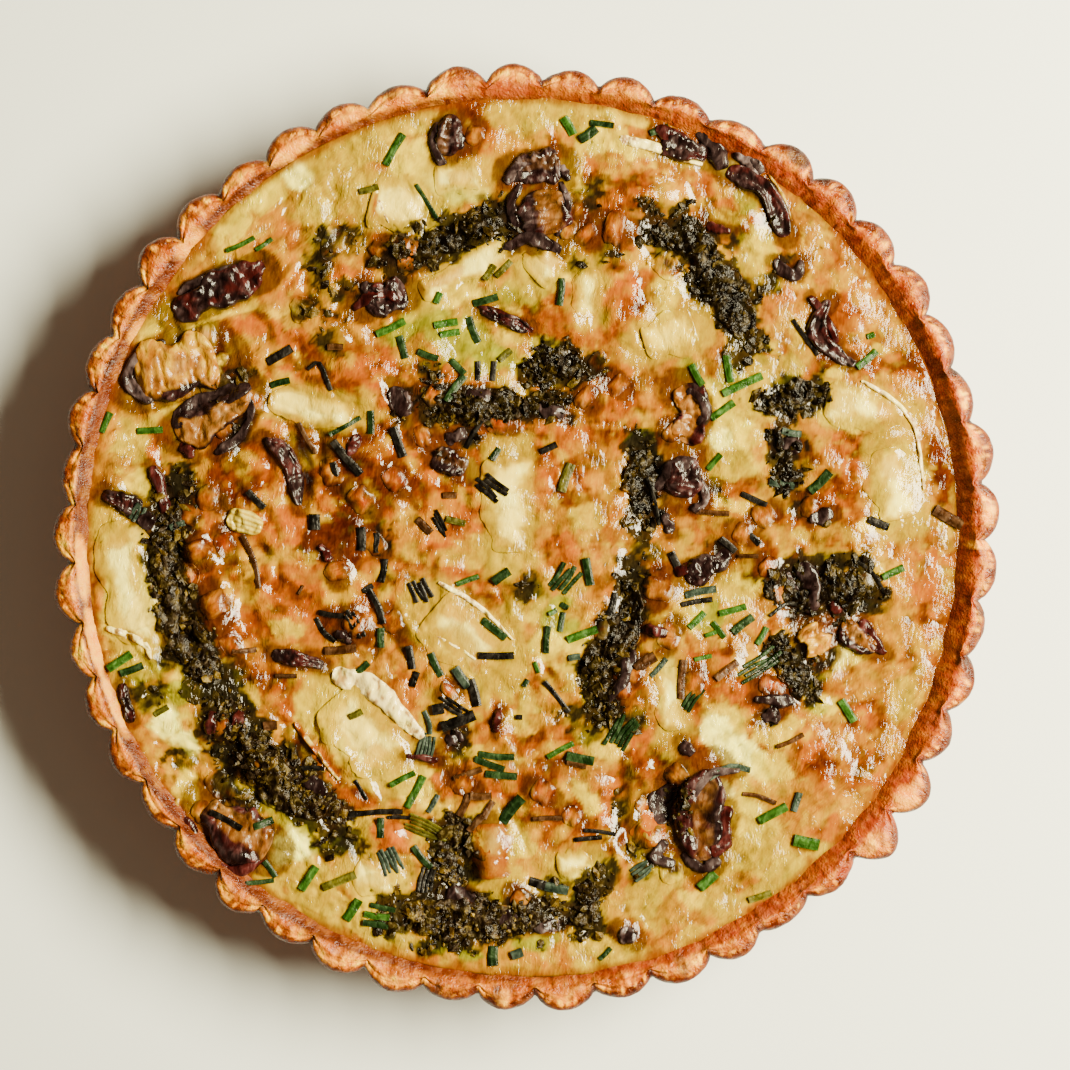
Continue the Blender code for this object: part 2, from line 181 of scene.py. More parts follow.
# Scraps, folds and strips among the toppings, each row with a kind for its name. Kinds:
# k black skin, m maroon skin, b skin with a grey bloom and a painted blue-grey reflection, f tan flesh,
# n browned nugget, o vivid orange nugget, g mossy clump, c creamy blob.
SCRAPS = paths_of("""
    b 3.6 2.6 -91 49.5 -97 46.5 -100.5 41 -98.5 36.5 -94 34.5;
    k 1.6 1.6 -92.5 47 -93.5 44 -90.5 41.5 -86.5 44; c 2.6 1.2 -89 46 -86.5 46.5; f 5 1.2 -84 50 -78 52;
    f 5 1.2 -90 37 -84 38; c 3 1 -79 40 -76 47; k 5.5 2.4 -89 27.5 -84 32 -77 35 -69.5 38.5;
    k 3 2 -70 38 -69.5 31 -73 25 -78.5 21; g 4 1.6 -82 36.5 -74 40; n 5.5 2.2 -79 26.5 -74.5 30;
    n 5 2 -68.5 34; m 3.4 2.2 -94.5 18 -92.5 12 -91 5.5; k 4.2 2.2 -98 5 -94 3; m 3 1.6 -87 24 -84 20;
    k 2.4 1.8 -88 61.5 -80 66 -71 69.5; m 4 1.6 -78 63 -71 66 -66 69; c 1.6 1.6 -73 62.5 -71.5 62;
    m 4 3 -86.5 -71 -82 -79 -74 -85 -66 -80; n 4.5 2.8 -84 -68 -79 -71; n 5 2.6 -77 -76 -70 -80;
    f 4 1.6 -70 -73 -66 -77; c 1.4 1.2 -88 -66 -89 -72; m 2.6 2.2 -76 -70 -72 -73;
    k 2.6 2.2 -22 105 -23 99 -20.5 93.5; b 2.8 2 -17 104 -16.5 98; n 3.6 2.2 -13.5 99 -12 104;
    b 3.2 2.4 -5 89.5 0 95 8 97.5; k 3 2.2 -4 91 4 92; b 2.4 1.8 9 94 11 90; k 2.6 2 -2 78 -3.5 84 -1 89.5;
    b 1.8 2 8 76 11 83 9 90; n 4.5 2.2 2 80 5 84; k 4 2.2 -6 73 2 75.5 9 72;
    k 4.5 3 43.5 103 48.5 98.5 50 93; m 3.4 2.4 33 103.5 38 101 42 100; b 3.6 2.6 53 98 57 95 58 91;
    k 3.4 2.4 57 97 60 92; c 0.8 1.2 61.5 92 65 87 67.5 80; m 2.4 2 72 61 75.5 56 79 49;
    b 2.4 1.6 79 46 83.5 43.5; k 3 1.8 63 70 68 66 70 70; k 3.4 2.4 41 37.5 45.5 33 44 28;
    f 4.5 1.6 36 28 39 25; k 4.5 2.4 33 12 37 17 43 19; b 2.6 2 44 15 45.5 9 42 7; k 3 1.6 35 6 37 1;
    k 4 2.2 46.5 -9 51.5 -3.5; m 3.4 2 38 -9 42 -7.5; b 2.4 3 54.5 -59 47.5 -59.8 43.2 -64 41 -70 39.3 -76;
    n 5 3.6 47 -63 47 -70; m 4.5 3.2 51 -68 50.5 -75 47.5 -81; k 3.4 2.4 40 -80 45 -84 49.5 -81.5;
    k 4.5 1.6 38 -63 34 -67 34.5 -73; k 3.2 2.2 36 -77 33 -81 38 -83; o 6 3.4 28.5 -73 33.5 -77;
    g 4.5 1.4 34 -85 40 -84.5; n 4 2.4 31.5 -67 29 -70; n 4.5 2.4 40.5 -58.5 36 -62;
    m 2 1.4 -30 -55.5 -22 -56.5; k 5 2.2 -33.5 38 -31.5 34 -30 30.5; b 1.6 2.2 -30.5 37 -29 33;
    m 3.2 2 30 -23 36.5 -24.5; k 3.8 2 60 -46 64.5 -44.5; k 3.6 2 39.5 -52 42.5 -55;
    b 4.4 1.8 24 -99.5 28 -102; m 2.4 2 -7.5 -49.5 -6.5 -43.5; m 3.6 2.4 -43.5 57.5 -37.5 62.5 -32 60;
    k 3.6 2.2 -41 64.5 -36 57.5; m 2 1.6 -12 58.5 -5 56 2 52; m 3.4 2 85 -21 87.5 -26 91.5 -29.5;
    k 5 2.8 69 -7 73.5 -13 70.5 -19; m 3.2 2.4 78 -14 79 -19.5; g 4 1.6 84 -9 88 -15;
    n 6.5 2.6 74 -22 76.5 -29; n 4 2 64 -12 66 -17; b 1.8 2.4 66.5 -9 70 -16; n 7.5 2.4 -32 72.5 -27 71;
    n 4.5 2 -38.5 71 -35.5 74; g 4 1.8 -33 78 -25 80; g 4.5 1.2 -47 79 -50 70; g 4.5 1.2 -56 61 -57 54;
    g 4 1.6 8 82 14 87; n 7 2.6 20 79 25 77.5; o 5 2 14 78 17 75; g 5 1.6 33 71 39 66; n 4 1.8 12 76 9 80;
    m 2.6 1.6 46 79 52 77; n 6 2.4 -84 -1 -82 -6; n 6.5 2.6 -80 -14 -77 -20; n 4.5 2.2 -86 3 -84 8;
    n 5 2 -83 11 -78 9; o 4 1.6 -77 1 -75 -5; n 6.5 2.6 -68 -55 -64 -59; n 4.5 2.2 -78.5 -46 -75.5 -49;
    o 4 1.6 -76 -25 -73 -30; m 3 2.2 -79 -44 -80 -50; m 2.8 2 -72 -44 -74 -50; g 5 1.6 -80 -60 -74 -66;
    k 4 1.8 -58 -60 -50 -65; n 5 2.2 -25 37 -21.5 35; n 4.5 2 -28 25 -24 26; o 5 2.2 -9 30 -4 28;
    k 3.6 1.8 -15 36 -6 34.5; k 3.6 1.8 -20 24 -15 27; n 5.5 2.2 14 37 17 34; n 5 2 22 40 25 37;
    k 4 1.8 10 31 3 33; g 5 1.8 3 44 12 45; g 4.5 1.6 17 46 20 43; n 4.5 2 -50 20 -48 13;
    o 5 2.2 -44 12 -39 7; o 4.5 2.2 -35 17 -31 12; m 2.4 1.8 -42 26 -45 20; n 4 1.8 -40 1 -36 -4;
    n 5 2.2 -48 -6 -47 -11; m 2.6 2 -52 -2 -49 -6; n 5.5 2.4 -45 -20 -41 -24; k 2.6 1.8 -48 -24 -44 -27;
    n 4.5 2.2 -35 -19 -32 -24; k 3.6 2 27 -28 25 -35 21 -42; n 6 2.8 34 -10 33 -16; n 4.5 2.4 29 -31 26 -37;
    o 4 2.4 24 -34 24.5 -41; n 4.5 2 43 -34 42 -41; n 4.5 2 38 -22 35 -28; g 4 2 22 -20 19 -27;
    o 4 2.2 59 -37 66 -38; k 3 1.8 58 -41 68 -41.5; n 5 1.8 58 4 63 7; n 4.5 2.2 53 2 57 0;
    n 4.5 2.2 60 -6 63 -9; n 4 1.8 70 9 74 6; k 3.6 1.6 72 4 78 6; g 5 1.6 65 35 72 33; k 4 1.8 64 24 70 22;
    g 5 1.8 -19 -76 -15 -84; n 7.5 3 -9 -74 -9 -82; k 4 1.8 -20 -90 -12 -92; n 4.5 1.8 -3 -90 1 -93;
    g 5 1.6 -28 -93 -33 -97; b 3 1.4 2 -99 9 -98; k 5 1.8 -7 -97 -1 -96; o 5 2 2 -63 7 -66;
    n 4 1.8 10 -69 14 -72; k 3.6 1.8 -20 -52 -16 -50; o 4.5 2.2 -20.5 -40 -18 -38; n 5 2 -18 -61 -13 -64;
""")

# How each slice looks: name, depth of the dish, cut flesh showing, its side, red skin, grey bloom with its
# painted reflection
MUSHROOM_LOOKS = {name: look for name, *look in rows_of("""
    mushroom_top 0.3 0.1 1 0.2 0.9;
    mushroom_cap_curl 0.5 0.1 1 0.2 0.9;
    mushroom_cap_slice 0.5 0.35 -1 0.5 0.4;
    mushroom_rim_knob 0.3 0 1 0.6 0.3;
    mushroom_rim_strip 0.5 0 1 0.8 0.2;
    mushroom_left_long 0.4 0 1 1 0.1;
    mushroom_left_gilled 0.2 1 1 0.3 0.2;
    mushroom_left_arch 0.4 0.55 -1 0.1 0.3;
    mushroom_right_hook 0.4 0 1 0.6 0.5;
    mushroom_inner_leaf 0.6 0.5 -1 0.9 0.1;
    mushroom_inner_dark 0.4 0 1 0.5 0.3;
    mushroom_left_tip 0.3 0 1 0.9 0.2;
    mushroom_wrinkled 0.15 0.42 1 1 0.2;
    mushroom_rim_sliver 0.2 0 1 0.8 0.2;
    mushroom_left_strip 0.2 0 1 0.9 0.6;
    mushroom_big_curl 0.5 0.22 0 0.6 0.3;
    mushroom_mid_lens 0.3 0 1 0.6 0.2;
    mushroom_upper_nub 0.4 0 1 0.5 0.5;
    mushroom_right_flesh 0.2 1 0 0.3 0;
    mushroom_right_tail 0.3 0.4 1 0.9 0.6;
    mushroom_left_lens 0.3 0 1 0.9 0.3;
    mushroom_mid_dark 0.3 0 1 0.1 0.3;
    mushroom_mid_scrap 0.4 0.1 1 0.4 0.6;
""")}

CHEESES = forms_of("""
    cheese_top_block 12.5 3.6 -39 86 -24.5 82;
    cheese_top_small 7.5 3 -23 90.8 -11 91.5;
    cheese_upper_band 7 3 -26.5 61.5 -3.5 74;
    cheese_upper_lump 9 3.4 1.5 66 8 72;
    cheese_upper_oval 6.5 2.6 15.5 55.5 16.5 68;
    cheese_left_slice 8 2.8 -65 35 -43.5 31;
    cheese_middle_oval 11.5 3.2 -4 20.5 -4 -4;
    cheese_right_upper 9.5 3.6 76 34.5 95.5 30;
    cheese_right_lower 11 3.2 91.5 22.5 95.5 4.5;
    cheese_lower_left 15 3.2 -49 -41 -35 -57.5;
    cheese_lower_middle 16 3 -23.5 -18.5 -8 -31.5;
    cheese_left_edge 11.5 3 -103.5 4 -98 -27;
    cheese_lower_right 7 2.8 36 -33 38 -49;
    cheese_right_patch 10 2.4 30 49 43 53;
    cheese_bottom_small 6 2.6 8 -83.2 17 -82;
    cheese_bottom_left 7 2.8 -43.5 -85.5 -32.5 -87.5;
    cheese_bottom_browned 9 3.8 -9 -72.5 -8 -86.5;
    cheese_browned_bulb 7 4 31.5 -69 31.5 -78.5;
""")

HERBS = forms_of("""
    herbs_top 8 2.8 -32 70 -20 75.5 -5.5 80;
    herbs_upper_right 10 3 33 78 44 73 50 61 56 50;
    herbs_left_column 10 3 -90 10 -90.5 -6 -87 -22 -79 -38;
    herbs_lower_left 11 3 -76 -44 -67 -58.5 -50.5 -70;
    herbs_bottom_stem 8 3 -18.5 -73 -19 -88;
    herbs_bottom_bank 11 3.2 -32 -95 -14 -97 7 -95;
    herbs_bottom_tuft 8 3 16 -87.5 14.5 -99;
    herbs_right 12 3.4 66 -11 75 -14 85 -12;
    herbs_lower_right 7 2.8 63.5 -27 67.5 -33.5 72 -41;
    herbs_middle_column 8 3 27.5 -11 25 -24 18.5 -33 22 -46;
    herbs_inner_right 8.5 3 30 22 29 5;
    herbs_right_upper 7 2.6 61.5 32.5 73.5 38;
    herbs_right_strip 6 2.4 65 28 66 14;
    herbs_upper_tuft 9 2.6 1.5 42 14.5 44;
    herbs_upper_middle 8 2.8 -23 34.5 -9 32.5 6.5 33.5;
""")

ONIONS = forms_of("""
    onion_curl 5.5 2.6 -75.5 5.2 -66.5 2.4;
""")

# ---------------------------------------------------------------- cut chives, lying on top
# (x, y, turn in degrees, length, width, tone): g green, d dark green, o olive, b brown, k black, t teal
CHIVES = rows_of("""
    -33 98 60 9 2 g; -39.5 88 15 5 1.8 o; -25 85 -58 10 1.2 d; -9 67 55 4.5 1.8 o; -5.5 68 45 5.5 1.8 o;
    -10 60 15 6.5 2 d; -22 60.5 65 3 1.8 g; -20 54 10 6 2 g; -19 51.5 10 5 1.8 g; -13 52.5 -70 7 2 d;
    -34 53 25 8 2 g; -31 48 -75 6 2 d; -24.5 46 -20 5.5 1.8 d; -48 48 0 4 1.8 b; 11 104 -60 5 2.4 g;
    16 102 35 5 2.6 d; 19.5 104.5 -8 6 1.6 d; 34 103 20 5 1.8 d; 9 62 85 7 1.8 d; -72 74 25 8 1.3 g;
    -66 74 35 5 1.2 g; -95 27 3 6.5 1.8 g; -106 29 65 5.5 1.8 g; -62 46 30 7 2.4 k; -62 39 15 5 1.8 d;
    -39 29 -88 6 1.8 d; -45.5 28 30 9 1.3 d; -55 25 -60 9 1.2 b; -45 20 -50 11 2.2 k; -48 16 -80 6 1.8 k;
    -32 24 -70 8 2.2 k; -17.5 37.5 55 8 2 d; -17 43 -45 5 1.8 d; -12 42 88 5 1.5 k; -8 42 85 5 1.5 k;
    -5 46 40 4 1.8 o; -13 26 60 8 1.3 k; -7.5 21 60 3.5 1.8 d; -19 10.5 0 3.5 1.8 b; -17.5 4 -15 5 1.8 o;
    -25.5 2.8 -45 5 2 b; -53.2 3.8 90 4 3 k; -41.5 -0.5 90 6 2.4 k; -37.5 -1.5 90 5 1.8 k;
    -36 -8.5 80 6 1.8 k; -68 9.5 -45 6 1.8 k; 43.5 41 -62 6 1.9 g; 51.5 42.5 -80 7 2 g; 55 38.5 25 11 2.2 g;
    50 32 35 7 2 g; 48 19 50 5 1.6 g; 6 22.5 25 4.5 1.8 k; 10.5 15 70 7.5 2.5 o; 47.5 6.2 -4 8.5 1.5 b;
    58 9.5 -25 7 1.6 k; 71 50.5 -55 11 1.1 k; 87.5 51 20 2 1.6 g; 86.5 45 40 6.5 1.9 g; 74.5 14 45 7 2.5 d;
    65 13.5 -10 6.5 2 t; 67.5 26.5 -10 5 1.8 t; 89.5 3.5 -22 5.5 2.2 k; 107.2 5 -30 8 3 b; 93.2 -9 25 6 2 g;
    58 -0.5 -45 4 1.5 k; 56.5 -4.8 0 5 1.2 b; 51.5 -2 -40 5 1.7 k; -102.5 -31.5 33 7 2.3 g;
    -99.5 -33.5 20 6 2 d; -71 -28.7 3 6 1.5 b; -60.5 -35.2 0 5.5 1.3 b; -64.5 -47.8 5 3.5 2.5 b;
    -56.7 -13.3 60 2.5 0.8 b; -14.5 -11 20 6 1.5 g; -6 -10 35 5 2.5 d; -7.8 -23.3 -38 7.5 2 d;
    -7.3 -30 0 9 2 k; -39.8 -13 30 3 1.6 k; -36.5 -25.5 90 5 2 d; -49 -19.5 -8 6.5 1.5 k;
    -46.7 -28.5 5 8 2.4 b; -41.3 -33.3 42 4.5 1.8 d; -42.8 -44.8 25 3.5 1.8 o; -29 -30.5 -80 6 2 k;
    -28 -36 70 4 1.8 k; -22.5 -32.3 -65 6.5 2 d; -16 -35.5 -55 6 2.5 t; -13 -39.5 -75 7 2.5 k;
    -22 -43.5 10 3 3 k; -17 -46.5 20 9 3 k; -1.5 -45.7 0 1.6 1.4 k; 16 -8.8 -80 7 2.2 d;
    9.3 -21.5 80 5 1.5 d; 5.6 -26 85 7 1.8 d; 14.5 -24.7 20 8 2.2 g; 7 -19 30 2.2 1.4 g;
    10 -17.5 -30 2.2 1.4 d; 12.5 -30.5 10 3 1.8 t; 0.2 -37 60 2 1.4 d; 8 -40.5 -52 10 1.3 k;
    30.5 -31.8 35 6 3 b; 33.8 -33 48 6 1.4 t; 39.8 -36 85 10 2 b; 45 -30.5 12 4.5 1.2 g; 38 -6 -65 5 2 k;
    44.5 -14 12 8 2 t; 43.5 -16.5 10 8 1.5 k; 43.5 -21 45 5.5 1.8 g; 52.6 -18.5 15 7 1.8 g;
    49 -23.5 -52 5 1.5 g; 55.2 -22.2 38 6.5 2.2 d; 60 -25 60 5 1.6 g; 51 -33.7 38 7 2 b;
    81.7 -44 -58 6.5 2.2 g; 67 -51.5 25 7.5 1.3 b; 62.7 -70 28 8 2.4 g; 68.7 -67 72 5 1.8 t;
    71.2 -77.3 -12 6.5 3.2 g; 46.2 -87 42 5.5 2.7 g; 59.5 -91 18 6 1.8 o; 9 -54 28 7.5 1.5 g;
    14 -56 -12 7 2.5 d; 13 -57.6 -12 5 1.5 b; -54 -58.5 0 6.5 1.3 k; -31 -61.3 27 7 1.6 g;
    -27.8 -64.5 62 9 2 g; -23.3 -67.5 60 5 1.4 t; -7.2 -55.3 -5 9 1.8 d; -9 -57.5 -20 8 1.8 d;
    -6 -60.3 -5 8 2 d; -14.5 -60 20 7.5 1.7 b; -15.5 -68 65 6 2 b; -11.2 -65.5 0 5.5 2 b;
    -9.3 -69 60 5 1.8 b; -12.5 -72.5 50 5.5 2 b; -3.3 -69 52 8 3 d; 5.7 -71.3 2 7.5 1.4 b;
    16 -76.3 5 7 1.3 k; 19 -74.8 -8 8 1.1 k; -32 -71.2 0 6 1.1 k; -36.5 -73.5 90 5 2 d; -26 -81 -50 7 1.8 d;
    4 -88 -18 6 2.5 k; 8 -89 -12 6 2.5 t; -75.5 -71.5 -28 9 1.6 k; -66 -72.3 20 5 2 d;
    -64.5 -84 -55 5 1.5 d; -67 -87.2 5 7 1.3 d; -54.7 -86.3 57 7 2.2 g; -47 -87 22 9 2.2 o;
    -43.7 -94.3 57 6 2.5 g; -36 -93.8 -12 6.5 1.4 d; -37.5 -95.8 -8 6.5 1.8 g; -37.8 -98 -8 6.5 1.8 d;
    -8 -106 90 5 2.8 d; -2 -105.5 20 3 2.5 t; 20.3 -105.4 45 4 1.3 d; -92 -44 30 4 1.6 o;
    47 -24.5 20 3 1.2 g; 3 -33 -70 3 1.2 g; 22 -17 75 6 1.8 k; -88 3 20 4 1.6 t;
""")
# Bundles of strands side by side: (x, y, turn, length, width of the bundle, strands, tone)
BUNDLES = (
    (-8.5, 12.5, -40, 7, 5, 4, "k"), (-21.5, 3.5, -60, 6, 2.4, 3, "k"), (-26.3, -14, -65, 5.5, 5, 4, "k"),
    (-18, -43, -35, 7, 3, 3, "k"), (10, -10.8, 50, 7, 5.5, 4, "d"), (60, -32, 30, 11, 4.5, 4, "d"),
    (24.5, -49.5, 60, 8, 6, 5, "d"), (-24.5, -74, -22, 10, 4.5, 5, "o"), (-34, -82, -65, 6.5, 5, 5, "t"),
    (-25, -86.5, 80, 6, 4, 4, "k"), (29.3, -84.5, 35, 5, 4, 4, "t"), (-25, -53, 75, 6, 4.5, 5, "t"),
    (-98, 6, 60, 4.5, 3.4, 3, "t"), (42, -41, 60, 7, 3, 3, "d"), (-43, -22, -60, 7, 3, 3, "k"),
)
# Long thin strands: (points, width, tone)
STRANDS = (
    ([(-55, 42.5), (-52, 44), (-49, 37)], 1.1, "k"), ([(-71.5, 0.5), (-68.5, -6), (-67.3, -13)], 1.3, "b"),
    ([(31, 15), (33, 9), (34, 3)], 0.9, "k"), ([(-40, -12.5), (-37, -18), (-35.8, -22)], 1.8, "k"),
    ([(-53, -20.5), (-51, -24), (-48, -26.5)], 1.4, "k"),
    ([(-25.5, -44), (-24.2, -47), (-24, -50)], 1.2, "t"),
    ([(55, -65), (59, -65.5), (63.5, -67.3)], 1.2, "b"),
    ([(-44.5, -70.3), (-38, -69.6), (-31, -69.5)], 1.8, "k"),
    ([(-43, -61.5), (-41.5, -64), (-40, -66.5)], 1.0, "k"), ([(46.5, -61), (52, -58), (57, -59)], 1.6, "t"),
    ([(62, -20), (66, -17), (69, -17)], 1.0, "k"), ([(84, -6), (88, -9), (91, -14)], 0.9, "k"),
)
